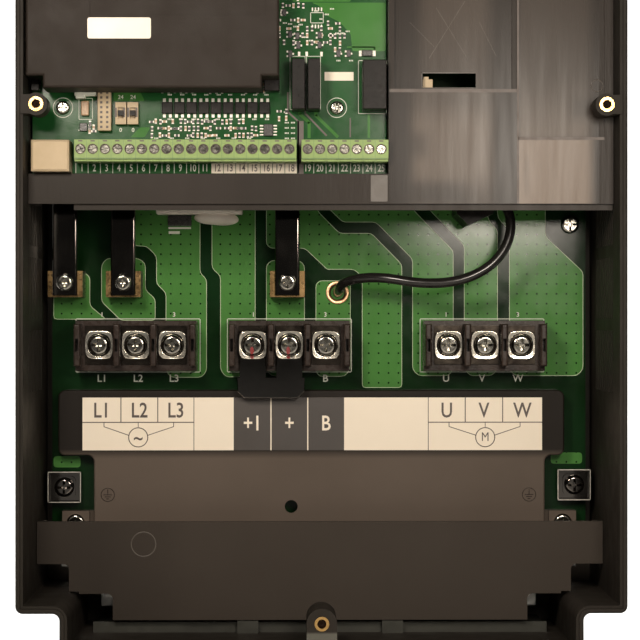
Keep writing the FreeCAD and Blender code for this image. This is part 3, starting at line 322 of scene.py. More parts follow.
# At the two latches the housing is darkened again.
latch_width = 7.5
for latch_x in (-31.2, 26.7):
    toned(housing_plastic, (latch_x * mm, None, 4 * mm),
          ((latch_x + latch_width) * mm, rim + 2 * mm, 12 * mm), (0.12, 0.12, 0.12), 2.5 * mm)

pour_green = perforated("pour_green", (0.062, 0.192, 0.042), (0.074, 0.220, 0.052), 4.4 * mm,
                        0.42 * mm, (0.003, 0.010, 0.004))
plain_green = finish("plain_green", (0.050, 0.175, 0.036), (0.062, 0.205, 0.044), (0.12, 0.18),
                     1200, 0.03, mottle=30, Specular_IOR_Level=0.25)
control_green = finish("control_green", (0.010, 0.070, 0.016), (0.015, 0.088, 0.022),
                       (0.15, 0.22), 1400, 0.05, mottle=60, Specular_IOR_Level=0.25)
print("perforated resist ready")

# %% [markdown]
# ## Finishes of the solids
# Each solid of the frame takes one finish by name. Of the rest, the power terminals' washers and
# screws are nickel and everything else is moulded in black.

# %% Give the solids their finishes
solid_finishes = {
    housing_plastic: ["housing"],
    cover_plastic: ["option_cover"],
    tray_plastic: ["control_tray"],
    guard_plastic: ["wiring_guard"],
    deck_plastic: ["cable_deck"],
    zinc_steel: ["rear_chassis", "board_standoffs"],
    dark_steel: ["gland_plate"],
    sink_aluminium: ["heat_sink"],
    resist_dark: ["power_board"],
    control_green: ["control_board"],
    brass: ["brass_inserts"],
    post_brass: ["busbar_posts"],
    mirror_nickel: ["busbars", "dc_link_bar", "earth_blocks", "earth_washer_left",
                    "earth_washer_right", "earth_screw_left", "earth_screw_right"],
    plate_nickel: ["terminal_plates"],
    nickel: ["board_screws", "control_terminal_screws"],
    terminal_green: ["control_terminals"],
    cream_plastic: ["comm_port", "switch_bodies"],
    label_cream: ["terminal_label"],
    rubber: ["cable_grommets"],
    ceramic_white: ["surge_absorber"],
    can_sleeve: ["dc_capacitors"],
    block_plastic: ["input_terminal_block", "dc_terminal_block", "output_terminal_block"],
}
finish_of = {node: material for material, names in solid_finishes.items() for node in names}
for name, solid in nodes.items():
    metal = "_washer_" in name or "_screw_" in name
    solid.data.materials.clear()
    solid.data.materials.append(finish_of.get(name, nickel if metal else black_plastic))
print("finishes on", len(nodes), "solids")

# %% [markdown]
# ## Surfaces worked out with numpy
# Most added pieces are one of three shapes: a flat plate with an outline, a cloud of small boxes,
# and a turned form. Each is computed as whole arrays and handed to the mesh in one go.


# %% Mesh helpers
def add_piece(name, points, faces, material, body="root", smooth=False):
    """Makes a mesh of points and faces, gives it a finish, and lets it ride on a body."""
    mesh = bpy.data.meshes.new(name)
    mesh.from_pydata(np.asarray(points).tolist(), [], faces)
    mesh.materials.append(material)
    if smooth:
        mesh.polygons.foreach_set("use_smooth", np.ones(len(mesh.polygons), bool))
    mesh.update()
    piece = bpy.data.objects.new(name, mesh)
    bpy.context.scene.collection.objects.link(piece)
    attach(piece, body)
    return piece


def soften(outline, radius, steps=5):
    """Each corner becomes a quadratic curve that leaves its two edges at the radius from it,
    or at half the edge where that is shorter."""
    corner = np.asarray(outline, float)
    back = np.roll(corner, 1, 0) - corner
    ahead = np.roll(corner, -1, 0) - corner
    reach_back = np.linalg.norm(back, axis=1, keepdims=True)
    reach_ahead = np.linalg.norm(ahead, axis=1, keepdims=True)
    trim = np.minimum(radius, np.minimum(reach_back, reach_ahead) * 0.45)
    start = (corner + back / reach_back * trim)[:, None]
    end = (corner + ahead / reach_ahead * trim)[:, None]
    t = np.linspace(0, 1, steps)[None, :, None]
    curve = (1 - t) ** 2 * start + 2 * t * (1 - t) * corner[:, None] + t ** 2 * end
    return curve.reshape(-1, 2)


def plates(name, outlines, front, thickness, material, radius=0.0, body="root"):
    """Flat plates of any outline in millimetres, from depth front back by the thickness.
    Each is two copies of its outline joined by a band of quads."""
    points, faces, start = [], [], 0
    for outline in outlines:
        flat = soften(outline, radius) if radius else np.asarray(outline, float)
        x, z = flat.T
        if np.sum(x * np.roll(z, -1) - np.roll(x, -1) * z) < 0:
            flat = flat[::-1]
        n = len(flat)
        for y in (front, front + thickness):
            points.append(np.column_stack([flat[:, 0] * mm, np.full(n, y), flat[:, 1] * mm]))
        ring = np.arange(n)
        faces.append((start + ring).tolist())
        faces.append((start + n + ring[::-1]).tolist())
        band = np.column_stack([ring, ring + n, np.roll(ring, -1) + n, np.roll(ring, -1)])
        faces.extend((start + band).tolist())
        start += 2 * n
    return add_piece(name, np.concatenate(points), faces, material, body)


def bands(paths):
    """Bent strips of copper or of routed slot. Each path is its width and its points in
    millimetres; every run becomes a four-cornered outline, widened square to its length."""
    outlines = []
    for width, points in paths:
        points = np.asarray(points, float)
        for start, end in zip(points, points[1:]):
            along = (end - start) / np.linalg.norm(end - start)
            aside = np.array((-along[1], along[0])) * width / 2
            start, end = start - along * width * 0.2, end + along * width * 0.2
            outlines.append([start - aside, end - aside, end + aside, start + aside])
    return outlines


def rectangle(x0, x1, z0, z1):
    """The outline of an upright rectangle."""
    return [(x0, z0), (x1, z0), (x1, z1), (x0, z1)]


box_signs = np.array([(-1, -1, -1), (1, -1, -1), (1, 1, -1), (-1, 1, -1),
                      (-1, -1, 1), (1, -1, 1), (1, 1, 1), (-1, 1, 1)]) / 2
box_faces = np.array([(0, 3, 2, 1), (4, 5, 6, 7), (0, 1, 5, 4), (1, 2, 6, 5), (2, 3, 7, 6),
                      (3, 0, 4, 7)])


def box_cloud(name, rows, front, material, bevel=0.0, body="root"):
    """Many boxes at once. Each row is x, z, width, height and rise in millimetres: a box
    that stands its rise in front of the given depth."""
    x, z, width, height, rise = np.asarray(rows, float).T
    middle = np.column_stack([x * mm, front - rise * mm / 2, z * mm])
    size = np.column_stack([width, rise, height]) * mm
    points = middle[:, None] + box_signs[None] * size[:, None]
    faces = box_faces[None] + 8 * np.arange(len(x))[:, None, None]
    piece = add_piece(name, points.reshape(-1, 3), faces.reshape(-1, 4).tolist(), material,
                      body)
    if bevel:
        round_off(piece, bevel)
    return piece


def round_off(piece, width, segments=2):
    """Rounds a piece's sharp edges by the width in millimetres."""
    bevel = piece.modifiers.new("bevel", "BEVEL")
    bevel.width = width * mm
    bevel.segments = segments
    bevel.limit_method = "ANGLE"
    bevel.angle_limit = math.radians(40)


def turned(name, profile, places, material, sides=32, body="root"):
    """Copies of a turned form whose axis runs from front to back. The profile is radius and
    depth in millimetres along the outline, and each place is x and z with a depth y."""
    radius, depth = np.asarray(profile, float).T * mm
    turn = np.arange(sides) * 2 * math.pi / sides
    ring = np.stack([np.outer(radius, np.cos(turn)), np.repeat(depth[:, None], sides, 1),
                     np.outer(radius, np.sin(turn))], -1)
    rows = len(radius)
    i, j = np.meshgrid(np.arange(rows), np.arange(sides), indexing="ij")
    after = (i + 1) % rows
    quads = np.stack([i * sides + j, after * sides + j, after * sides + (j + 1) % sides,
                      i * sides + (j + 1) % sides], -1).reshape(-1, 4)
    centres = np.array([(x * mm, y, z * mm) for x, z, y in places])
    points = ring.reshape(1, -1, 3) + centres[:, None]
    faces = quads[None] + rows * sides * np.arange(len(centres))[:, None, None]
    return add_piece(name, points.reshape(-1, 3), faces.reshape(-1, 4).tolist(), material,
                     body, smooth=True)


# %% [markdown]
# ## Lettering
# Printed characters are set with the built-in font, turned into a mesh, and then moved to their
# place, all in one piece for each colour of ink.


# %% Lettering helper
def lettering(name, words, front, material, thickness=0.03, narrow=1.0,
              weight=0.018):
    """Upright words in one mesh. Each row is the text, x and z of its middle, and the height
    of a capital, in millimetres; narrow squeezes them sideways and weight thickens them."""
    all_points, all_faces, start = [], [], 0
    for text, x, z, height in words:
        curve = bpy.data.curves.new("word", "FONT")
        curve.body = text
        curve.align_x = "CENTER"
        curve.align_y = "CENTER"
        curve.size = height * mm * 1.4
        curve.extrude = thickness * mm / 2
        curve.offset = height * mm * weight
        curve.resolution_u = 3
        holder = bpy.data.objects.new("word", curve)
        bpy.context.scene.collection.objects.link(holder)
        bpy.context.view_layer.update()
        mesh = bpy.data.meshes.new_from_object(holder)
        flat = np.empty(len(mesh.vertices) * 3)
        mesh.vertices.foreach_get("co", flat)
        flat = flat.reshape(-1, 3)
        all_points.append(np.column_stack([x * mm + flat[:, 0] * narrow,
                                           front - flat[:, 2] - thickness * mm / 2,
                                           z * mm + flat[:, 1]]))
        all_faces += [[start + v for v in polygon.vertices] for polygon in mesh.polygons]
        start += len(flat)
        bpy.data.objects.remove(holder)
        bpy.data.meshes.remove(mesh)
    return add_piece(name, np.concatenate(all_points), all_faces, material)


print("helpers ready")

# %% [markdown]
# ## Power board
# The heavy currents run in broad copper areas with lanes of bare board between them. Each area is
# a thin plate a little proud of the board, with chamfered turns. A pale line along the edges of
# the lacquer is a painted highlight, the glint that those edges catch.

# %% Copper areas
copper_areas = {
    "supply_1": [(-118.0, 138.2), (-94.4, 138.2), (-101.8, 144.3), (-101.8, 157.0),
                 (-104.0, 159.0), (-118.0, 159.0)],
    "supply_2": [(-88.2, 137.7), (-72.8, 137.7), (-72.8, 147.4), (-77.2, 151.3),
                 (-77.2, 163.2), (-80.3, 165.4), (-94.4, 165.4), (-96.8, 162.5),
                 (-96.8, 146.1)],
    "supply_3": [(-66.2, 112.4), (-52.2, 112.4), (-50.0, 115.3), (-50.0, 156.2),
                 (-52.9, 158.8), (-52.9, 205.0), (-88.0, 205.0), (-88.0, 174.0),
                 (-81.0, 170.7), (-76.8, 170.7), (-72.4, 166.3), (-72.4, 154.0),
                 (-68.2, 150.0), (-68.2, 115.8)],
    "link_1": [(-41.6, 112.6), (-30.6, 112.6), (-28.4, 115.8), (-28.4, 205.0),
               (-47.8, 205.0), (-47.8, 161.0), (-44.0, 157.5), (-44.0, 115.8)],
    "link_2": [(-21.4, 113.0), (-8.7, 113.0), (-6.5, 115.8), (-6.5, 162.3), (-8.7, 164.5),
               (-21.4, 164.5), (-23.6, 162.3), (-23.6, 115.8)],
    "link_2_upper": [(-21.8, 169.8), (-6.5, 169.8), (2.3, 161.5), (3.4, 160.4), (15.5, 160.4),
                     (19.0, 157.1), (19.0, 107.8), (36.8, 107.8), (36.8, 162.7),
                     (23.2, 176.6), (9.0, 176.6), (-0.4, 186.1), (-8.0, 205.0),
                     (-23.6, 205.0), (-23.6, 171.6)],
    "link_3": [(0.0, 112.8), (11.3, 112.8), (13.9, 115.9), (13.9, 155.5), (0.1, 155.5),
               (-1.6, 153.8), (-1.6, 115.0)],
    "motor_1": [(44.1, 113.1), (57.6, 113.1), (59.7, 115.9), (59.7, 168.8), (42.7, 186.1),
                (30.0, 205.0), (2.0, 205.0), (2.0, 189.6), (10.4, 181.4), (25.1, 181.4),
                (41.4, 165.0), (41.4, 115.9)],
    "motor_2": [(67.0, 113.1), (76.8, 113.1), (79.4, 115.9), (79.4, 178.1), (75.4, 182.4),
                (70.7, 205.0), (35.0, 205.0), (49.7, 186.1), (64.4, 171.1), (64.4, 116.4)],
    "motor_3": [(87.1, 113.1), (114.7, 113.1), (117.5, 115.9), (117.5, 159.4),
                (100.7, 175.3), (100.7, 205.0), (78.2, 205.0), (79.4, 183.3), (84.5, 177.7),
                (84.5, 115.9)],
    "lower_left": [(-118.0, 72.5), (-106.0, 72.5), (-106.0, 77.5), (-118.0, 77.5)],
    "lower_right": [(103.0, 74.0), (117.0, 74.0), (117.0, 79.0), (103.0, 79.0)],
}
copper_rise = 0.10 * mm
for area, outline in copper_areas.items():
    plates("copper_" + area, [outline], power_face - copper_rise, copper_rise, pour_green,
           radius=1.6)
print(len(copper_areas), "copper areas")


# %% Edge lines of the copper
def edge_ribbons(name, outlines, width, front, material, radius):
    """A thin ribbon along each outline: two copies of it, one moved inwards by the width
    along the corner's own bisector, joined by quads."""
    points, faces, start = [], [], 0
    for outline in outlines:
        path = soften(outline, radius, 3)
        x, z = path.T
        if np.sum(x * np.roll(z, -1) - np.roll(x, -1) * z) < 0:
            path = path[::-1]
        along = np.roll(path, -1, 0) - np.roll(path, 1, 0)
        along /= np.linalg.norm(along, axis=1, keepdims=True)
        inner = path + np.column_stack([-along[:, 1], along[:, 0]]) * width
        n = len(path)
        for ring in (path, inner):
            points.append(np.column_stack([ring[:, 0] * mm, np.full(n, front),
                                           ring[:, 1] * mm]))
        k = np.arange(n)
        after = np.roll(k, -1)
        faces += (start + np.column_stack([k, after, after + n, k + n])).tolist()
        start += 2 * n
    ribbon = add_piece(name, np.concatenate(points), faces, material)
    solid = ribbon.modifiers.new("thickness", "SOLIDIFY")
    solid.thickness = 0.02 * mm
    return ribbon


# Painted highlight: pale ribbons along the copper edges stand for the glint they catch.
painted_edge_highlight = finish("painted_edge_highlight", (0.42, 0.54, 0.32), (0.60, 0.70, 0.48), (0.3, 0.45), 1500,
                    0.2, mottle=120)
edge_ribbons("copper_edge_highlights", [o for k, o in copper_areas.items() if "lower" not in k], 0.22,
             power_face - copper_rise - 0.03 * mm, painted_edge_highlight, 1.6)
print("copper edges drawn")

# %% [markdown]
# ## The lead
# The sense lead leaves the inverter through a hole in the board, swings across the motor lanes and
# runs up to the current sensor. It is one smooth NURBS curve along the solid's route, with two of
# the points near the hole moved by two or three millimetres.

# %% The sense lead
jacket = finish("lead_jacket", (0.010, 0.009, 0.008), (0.016, 0.014, 0.013), (0.16, 0.26),
                900, 0.05, mottle=60)
lead_diameter = 4.3 * mm
lead_points = [
    (8.1, 91.6, 150.1),
    (8.1, 82.4, 150.1),
    (10.6, 71.9, 155.2),
    (25.0, 63.9, 156.9),
    (44.5, 60.2, 153.4),
    (60.5, 59.3, 154.6),
    (72.9, 59.6, 160.2),
    (80.6, 60.6, 168.9),
    (83.2, 61.8, 178.6),
    (81.4, 63.6, 187.4),
    (75.0, 66.0, 193.6),
]
lead_curve = bpy.data.curves.new("sense_lead_curve", "CURVE")
lead_curve.dimensions = "3D"
spline = lead_curve.splines.new("NURBS")
spline.points.add(len(lead_points) - 1)
for point, (x, depth, z) in zip(spline.points, lead_points):
    point.co = (x * mm, rim + depth * mm, z * mm, 1.0)
spline.order_u = 3
spline.use_endpoint_u = True
spline.resolution_u = 16
lead_curve.bevel_depth = lead_diameter / 2
lead_curve.bevel_resolution = 8
lead_curve.use_fill_caps = True
lead_curve.materials.append(jacket)
lead = bpy.data.objects.new("sense_lead_cable", lead_curve)
bpy.context.scene.collection.objects.link(lead)
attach(lead, "root")
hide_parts("sense_lead")
turned("lead_hole_ring", [(3.05, -0.25), (4.9, -0.25), (5.2, -0.1), (5.2, 0.0), (3.05, 0.0)],
       [(8.1, 150.1, power_face)], copper, sides=48)
print("lead and its ring")

# %% [markdown]
# ## Terminal label
# The strip on the guard tells the terminals apart: supply on the left, the direct-current link in
# the dark middle, motor on the right. The letters are the usual generic ones.

# %% Label lines and words
label_low, label_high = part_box("terminal_label")
label_face = label_low.y
lx0, lx1 = label_low.x / mm, label_high.x / mm
lz0, lz1 = label_low.z / mm, label_high.z / mm
supply_cells = [lx0, -87.4, -71.2, -55.3]
link_cells = [-37.8, -21.4, -5.2, 10.8]
motor_cells = [47.9, 64.2, 80.7, lx1]
cell_line = lz0 + 12.3
plates("label_dark_field", [rectangle(link_cells[0], link_cells[-1], lz0, lz1)],
       label_face - 0.05 * mm, 0.05 * mm, label_dark)
line_width = 0.42
lines = []
for cells in (supply_cells, motor_cells):
    for x in cells[1:-1]:
        lines.append(rectangle(x - line_width / 2, x + line_width / 2, cell_line, lz1))
    lines.append(rectangle(cells[0], cells[-1], cell_line - line_width / 2,
                           cell_line + line_width / 2))
    middle = (cells[0] + cells[-1]) / 2
    for x in ((cells[0] + cells[1]) / 2 + 1.0, (cells[-2] + cells[-1]) / 2 - 1.0):
        side = 1 if x < middle else -1
        lines += bands([(0.34, [(x, cell_line), (x, cell_line - 1.9),
                                (middle - side * 4.2, lz0 + 6.6)])])
    lines.append(rectangle(middle - 0.15, middle + 0.15, lz0 + 10.2, cell_line))
lines.append(rectangle(supply_cells[-1] - 0.16, supply_cells[-1] + 0.16, lz0, lz1))
lines.append(rectangle(motor_cells[0] - 0.16, motor_cells[0] + 0.16, lz0, lz1))
plates("label_lines", lines, label_face - 0.05 * mm, 0.05 * mm, ink_and_painted_shade)
plates("label_separators", [rectangle(x - 0.25, x + 0.25, lz0, lz1) for x in link_cells[1:3]],
       label_face - 0.09 * mm, 0.05 * mm, label_cream)
turned("label_circles", [(4.0, -0.05), (4.4, -0.05), (4.4, 0.0), (4.0, 0.0)],
       [((c[0] + c[-1]) / 2, lz0 + 5.7, label_face) for c in (supply_cells, motor_cells)],
       ink_and_painted_shade, sides=48)
words = []
for cells, names in ((supply_cells, "L1 L2 L3".split()), (motor_cells, "U V W".split())):
    for left, right, word in zip(cells, cells[1:], names):
        words.append((word, (left + right) / 2, lz0 + 17.3, 6.6 if len(word) < 3 else 5))
words.append(("~", (supply_cells[0] + supply_cells[-1]) / 2, lz0 + 5.4, 6.0))
lettering("label_words", words, label_face - 0.02 * mm, ink_and_painted_shade, narrow=0.82)
lettering("label_motor", [("M", (motor_cells[0] + motor_cells[-1]) / 2, lz0 + 5.7, 4.0)],
          label_face - 0.02 * mm, ink_and_painted_shade, narrow=0.82, weight=0)
lettering("label_link_words",
          [(word, (left + right) / 2, lz0 + 11.6, 6.6)
           for left, right, word in zip(link_cells, link_cells[1:], ("+1", "+", "B"))],
          label_face - 0.07 * mm, label_cream, narrow=0.82)
print("label printed")

# %% [markdown]
# ## Printing on the power board
# White print outlines each terminal block and names its poles.

# %% Power board print
silk = power_face - copper_rise - 0.06 * mm
block_boxes = [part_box(n) for n in ("input_terminal_block", "dc_terminal_block",
                                   "output_terminal_block")]
outlines = []
for low, high in block_boxes:
    x0, x1 = low.x / mm - 0.9, high.x / mm + 0.9
    z0, z1 = low.z / mm - 0.6, high.z / mm + 0.6
    outlines += [rectangle(x0, x1, z1, z1 + 0.3), rectangle(x0, x1, z0 - 0.3, z0),
                 rectangle(x0 - 0.3, x0, z0, z1), rectangle(x1, x1 + 0.3, z0, z1)]
plates("board_outlines", outlines, silk, 0.03 * mm, silk_white)
pole_pitch = 16.0
pole_words = []
for (low, high), names in zip(block_boxes, (("L1", "L2", "L3"), ("", "", "B"),
                                            ("U", "V", "W"))):
    for k, word in enumerate(names):
        x = (low.x + high.x) / 2 / mm + (k - 1) * pole_pitch
        if word:
            pole_words.append((word, x, low.z / mm - 3.7, 3.2))
    for word, side in (("1", -1), ("3", 1)):
        pole_words.append((word, (low.x + high.x) / 2 / mm + side * pole_pitch,
                           high.z / mm + 2.6, 2.0))
lettering("board_words", pole_words, silk, silk_white)
print("power board printed")

# %% [markdown]
# ## Control board
# The small board carries the signal electronics: a row of opto-isolators, a socket for a plug-in
# keypad lead, small resistors and capacitors with bright solder at their ends, and white print.
# The parts are many and tiny, so they are clouds of boxes: one cloud for each finish.

# %% Big parts of the control board
print_face = control_face - 0.04 * mm
opto_first, opto_pitch, opto_count = -64.5, 5.106, 9
opto_x = opto_first + opto_pitch * np.arange(opto_count)
opto_z = 226.9
box_cloud("optocouplers", [(x, opto_z, 4.4, 4.9, 2.0) for x in opto_x], control_face,
          black_plastic, bevel=0.25)
pad_rows = [(x + side * 1.25, opto_z + shift, 1.15, 1.5, 0.35)
            for x in opto_x for side in (-1, 1) for shift in (3.25, -3.25)]
box_cloud("socket_housing", [(-90.65, 226.0, 5.6, 17.9, 4.5)], control_face, cream_plastic,
          bevel=0.3)
socket_z = 218.6 + 2.05 * np.arange(8)
# Painted shade: dark squares stand for the socket's holes.
box_cloud("socket_hole_shade", [(x, z, 1.0, 1.0, 0.06) for x in (-91.9, -89.4) for z in socket_z],
          control_face - 4.5 * mm, ink_and_painted_shade)
box_cloud("signal_connector", [(-98.6, 233.2, 9.0, 3.2, 5.0), (-100.6, 231.2, 4.0, 1.6, 5.0)],
          control_face, silk_white, bevel=0.3)
box_cloud("crystal", [(-98.9, 226.6, 3.3, 6.2, 2.6)], control_face, capacitor_body,
          bevel=0.5)
box_cloud("driver_chip", [(-22.1, 217.6, 3.9, 5.0, 1.6), (-99.6, 218.8, 3.2, 3.4, 1.2)],
          control_face, resistor_body, bevel=0.2)
pad_rows += [(-22.1 + side * 2.85, 217.6 + step * 1.27, 1.5, 0.55, 0.3)
             for side in (-1, 1) for step in (-1.5, -0.5, 0.5, 1.5)]
box_cloud("rectifier", [(19.4, 249.9, 4.4, 2.6, 2.0)], control_face, resistor_body,
          bevel=0.25)
pad_rows += [(16.6, 249.9, 1.3, 2.3, 0.5), (22.3, 249.9, 1.3, 2.3, 0.5)]
print(opto_count, "opto-isolators, a socket, a connector and two chips")

# %% Small parts
draw = np.random.default_rng(7)


def small_parts(x0, x1, z0, z1, step_x, step_z, share):
    """A jittered grid of two-ended parts in a field, and a pair of solder pads for each.
    Each place keeps a part with the given chance."""
    across, up = np.meshgrid(np.arange(x0, x1, step_x), np.arange(z0, z1, step_z))
    places = np.column_stack([across.ravel(), up.ravel()])
    places = places[draw.random(len(places)) < share]
    places += draw.uniform(-0.18, 0.18, places.shape)
    upright = draw.random(len(places)) < 0.65
    length, width = 1.15, 0.95
    bodies = np.column_stack([places, np.where(upright, width, length),
                              np.where(upright, length, width), np.full(len(places), 0.55)])
    offset = np.where(upright[:, None], (0.0, 0.8), (0.8, 0.0))
    ends = [np.column_stack([places + sign * offset, np.where(upright, width, 0.5),
                             np.where(upright, 0.5, width), np.full(len(places), 0.5)])
            for sign in (-1, 1)]
    return bodies, np.concatenate(ends)


fields = [(-71.0, -27.0, 215.4, 222.0, 1.75, 2.9, 0.78),
          (-66.5, -23.0, 234.0, 237.0, 2.5, 2.9, 0.9),
          (-17.5, 4.0, 254.5, 262.0, 1.95, 2.9, 0.62), (4.0, 11.5, 251.5, 262.5, 1.95, 2.9, 0.62),
          (-18.0, -6.0, 264.0, 276.0, 2.1, 3.0, 0.6), (-17.5, -14.0, 222.5, 226.0, 2.9, 2.9, 0.9),
          (-97.0, -94.5, 217.0, 221.0, 1.8, 1.8, 0.9), (3.0, 8.0, 262.5, 268.0, 2.0, 2.9, 0.6)]
fields_made = [small_parts(*field) for field in fields]
bodies = np.concatenate([made[0] for made in fields_made])
ends = np.concatenate([made[1] for made in fields_made])
tan = draw.random(len(bodies)) < 0.3
box_cloud("resistors", bodies[~tan], control_face, resistor_body)
box_cloud("capacitors", bodies[tan], control_face, capacitor_body)
transistors = [(-9.9, 257.2), (-0.6, 257.5), (-9.5, 253.2), (-0.6, 253.4), (7.3, 249.8),
               (11.6, 249.8), (-13.0, 257.8), (-12.9, 249.7), (-15.4, 267.0)]
box_cloud("transistors", [(x, z, 1.7, 2.9, 1.1) for x, z in transistors], control_face,
          resistor_body, bevel=0.15)
pad_rows += [(x + dx, z + dz, 0.7, 0.75, 0.3) for x, z in transistors
             for dx, dz in ((-1.2, -0.95), (-1.2, 0.95), (1.2, 0.0))]
pad_rows += [(x, 249.6, 1.0, 1.9, 0.5) for x in (-9.2, -6.0, 0.2)]
pad_rows += [(-3.6 + 1.27 * k, z, 0.55, 1.5, 0.3) for k in range(4) for z in (268.4, 261.2)]
box_cloud("solder_pads", np.concatenate([ends, np.array(pad_rows)]), control_face, solder)
print(len(bodies), "small parts,", len(pad_rows), "pads")

# %% Tracks, slots and print of the control board
plates("control_pour", [[(-4.0, 271.3), (27.2, 271.3), (27.2, 250.9), (13.2, 250.9),
                         (12.5, 258.0), (8.0, 263.0), (2.2, 266.0), (-0.6, 269.8)],
                        [(-87.0, 229.8), (-74.0, 229.8), (-76.0, 234.0), (-87.0, 236.0)],
                        [(-80.0, 214.6), (-74.0, 214.6), (-71.6, 218.8), (-76.0, 218.8)],
                        rectangle(-12.0, 12.5, 271.6, 279.0)],
       control_face - 0.03 * mm, 0.03 * mm, plain_green, radius=0.9)
plates("control_tracks", bands([
    (1.3, [(-9.0, 226.3), (-9.0, 224.5), (-5.0, 220.9), (-5.0, 214.6)]),
    (1.3, [(-2.1, 226.3), (-2.1, 223.8), (7.0, 214.9)]),
    (1.0, [(20.1, 224.6), (20.1, 214.6)]),
    (0.5, [(11.0, 252.6), (22.5, 252.6), (22.5, 251.5)]),
    (1.0, [(-70.0, 214.6), (-74.0, 211.0), (-78.0, 211.0)])]),
    control_face - 0.03 * mm, 0.03 * mm, plain_green)
# Painted shade: dark strips stand for the routed slots through the board.
plates("isolation_slot_shade", bands([
    (0.75, [(-13.9, 233.5), (-13.9, 225.3), (-9.6, 221.4), (-9.6, 199.8)]),
    (0.75, [(-6.7, 227.8), (-6.7, 224.8), (2.3, 215.4)]),
    (0.6, [(12.3, 222.7), (12.3, 214.8)]),
    (2.6, [(-8.6, 221.0), (-8.6, 199.8)])]),
    print_face - 0.01 * mm, 0.03 * mm, ink_and_painted_shade)
line = 0.28


def frame_lines(x0, x1, z0, z1, width=line):
    """The four sides of a printed rectangle."""
    return [rectangle(x0, x1, z0, z0 + width), rectangle(x0, x1, z1 - width, z1),
            rectangle(x0, x0 + width, z0, z1), rectangle(x1 - width, x1, z0, z1)]


print_lines = (frame_lines(15.6, 27.7, 224.5, 247.1) + frame_lines(-4.5, 1.1, 262.6, 267.2)
               + frame_lines(-101.7, -95.8, 222.0, 231.0, 0.22)
               + frame_lines(-13.1, -6.6, 226.2, 248.8, 0.22)
               + frame_lines(-6.2, -0.1, 226.2, 248.8, 0.22))
marks = [(x + draw.uniform(-0.3, 0.3), z) for x in opto_x for z in (232.2, 221.9)]
marks += [(x, z) for x in (-15.2, -12.6) for z in (213.9, 216.1, 218.3, 220.5)]
marks += [(x, 262.9 + draw.uniform(-9, 9)) for x in np.arange(-16.0, 12.0, 2.2)]
marks += [(6.5, 246.6), (11.8, 246.6), (-15.6, 224.9), (-101.8, 217.2), (-96.5, 216.9)]
marks += [(x, 213.9) for x in np.arange(-70.0, -28.0, 6.5)]
print_lines += [rectangle(x + k * 0.62, x + k * 0.62 + 0.42, z, z + 0.62)
                for x, z in marks for k in range(3)]
plates("control_print", print_lines, print_face, 0.03 * mm, silk_white)
plates("blank_patch", [rectangle(1.5, 13.7, 238.5, 242.1)], print_face, 0.03 * mm, label_cream)
turned("screw_circles", [(3.95, -0.04), (4.25, -0.04), (4.25, -0.01), (3.95, -0.01)],
       [(-108.3, 227.0, control_face), (6.65, 227.1, control_face)], silk_white,
       sides=40)
lettering("switch_words", [("24", -84.1, 231.4, 1.7), ("24", -78.9, 231.4, 1.7),
                           ("0", -84.1, 217.6, 1.7), ("0", -78.9, 217.6, 1.7)],
          print_face, silk_white)
print(len(marks), "printed marks")

# %% [markdown]
# ### Numbers under the terminal strips
# A printed row of cells below the two green strips numbers the ways: dark cells with white
# figures for the switching signals, pale cells with dark figures for the analogue ones.

# %% Number cells
cell_pitch = 5.16
cell_low, cell_high = 199.5, 203.7
wide_start, narrow_start = -102.9, -8.2
starts = [wide_start + cell_pitch * k for k in range(18)]
starts += [narrow_start + cell_pitch * k for k in range(7)]
pale_cells = range(11, 18)
plates("number_pale", [rectangle(starts[k] + 0.12, starts[k] + cell_pitch - 0.12, cell_low,
                                 cell_high) for k in pale_cells],
       print_face, 0.03 * mm, label_cream)
plates("number_lines", [rectangle(starts[k] - 0.14, starts[k] + 0.14, cell_low, cell_high)
                        for k in range(25) if k not in pale_cells], print_face, 0.03 * mm,
       silk_white)
figures = [(str(k + 1), starts[k] + cell_pitch / 2, (cell_low + cell_high) / 2, 3.0)
           for k in range(25)]
lettering("numbers_white", [f for k, f in enumerate(figures) if k not in pale_cells],
          print_face, silk_white, narrow=0.72)
lettering("numbers_dark", [f for k, f in enumerate(figures) if k in pale_cells],
          print_face - 0.02 * mm, ink_and_painted_shade, narrow=0.72)
print("ways numbered 1 to 25")

# %% [markdown]
# ### Terminal strips
# Each way of a strip has a screw deep in a round well, a thin seam to the next way and a small
# test slot above. Dark rings around the screws are painted shade of the wells and give the screws
# their depth; each test slot is a dark patch of painted shade.

# %% Wells, seams and test slots
strip_face = face_of("control_terminals")
screw_z = 208.6
way_pitch = 5.08
ways = [start + way_pitch * (k + 0.5) for start, count in ((-102.2, 18), (-8.25, 7))
        for k in range(count)]
# Painted shade: a dark ring around each screw for its well.
turned("screw_well_shade", [(1.72, -0.03), (2.12, -0.03), (2.12, 0.0), (1.72, 0.0)],
       [(x, screw_z, strip_face) for x in ways], ink_and_painted_shade, sides=28)
# Painted shade: a dark patch for each test slot.
box_cloud("test_slot_shade", [(x, 211.95, 1.8, 0.55, 0.03) for x in ways], strip_face, ink_and_painted_shade)
strip_shade = finish("strip_shade", (0.11, 0.20, 0.06), (0.14, 0.24, 0.07), (0.3, 0.45), 1800,
                     0.1, mottle=70)
box_cloud("strip_seams",
          [(x + way_pitch / 2, 208.0, 0.16, 8.6, 0.02) for x in ways[:17] + ways[18:24]]
          + [(x, 204.75, way_pitch, 0.35, 0.02) for x in ways], strip_face, strip_shade)
box_cloud("switch_bands", [(x + dx, 224.75 + dz, w, h, 0.03)
                           for x in (-84.1, -78.9)
                           for dx, dz, w, h in ((-1.75, 0, 0.8, 4.0), (1.75, 0, 0.8, 4.0))],
          face_of("switch_bodies"), ink_and_painted_shade)
print(len(ways), "ways")

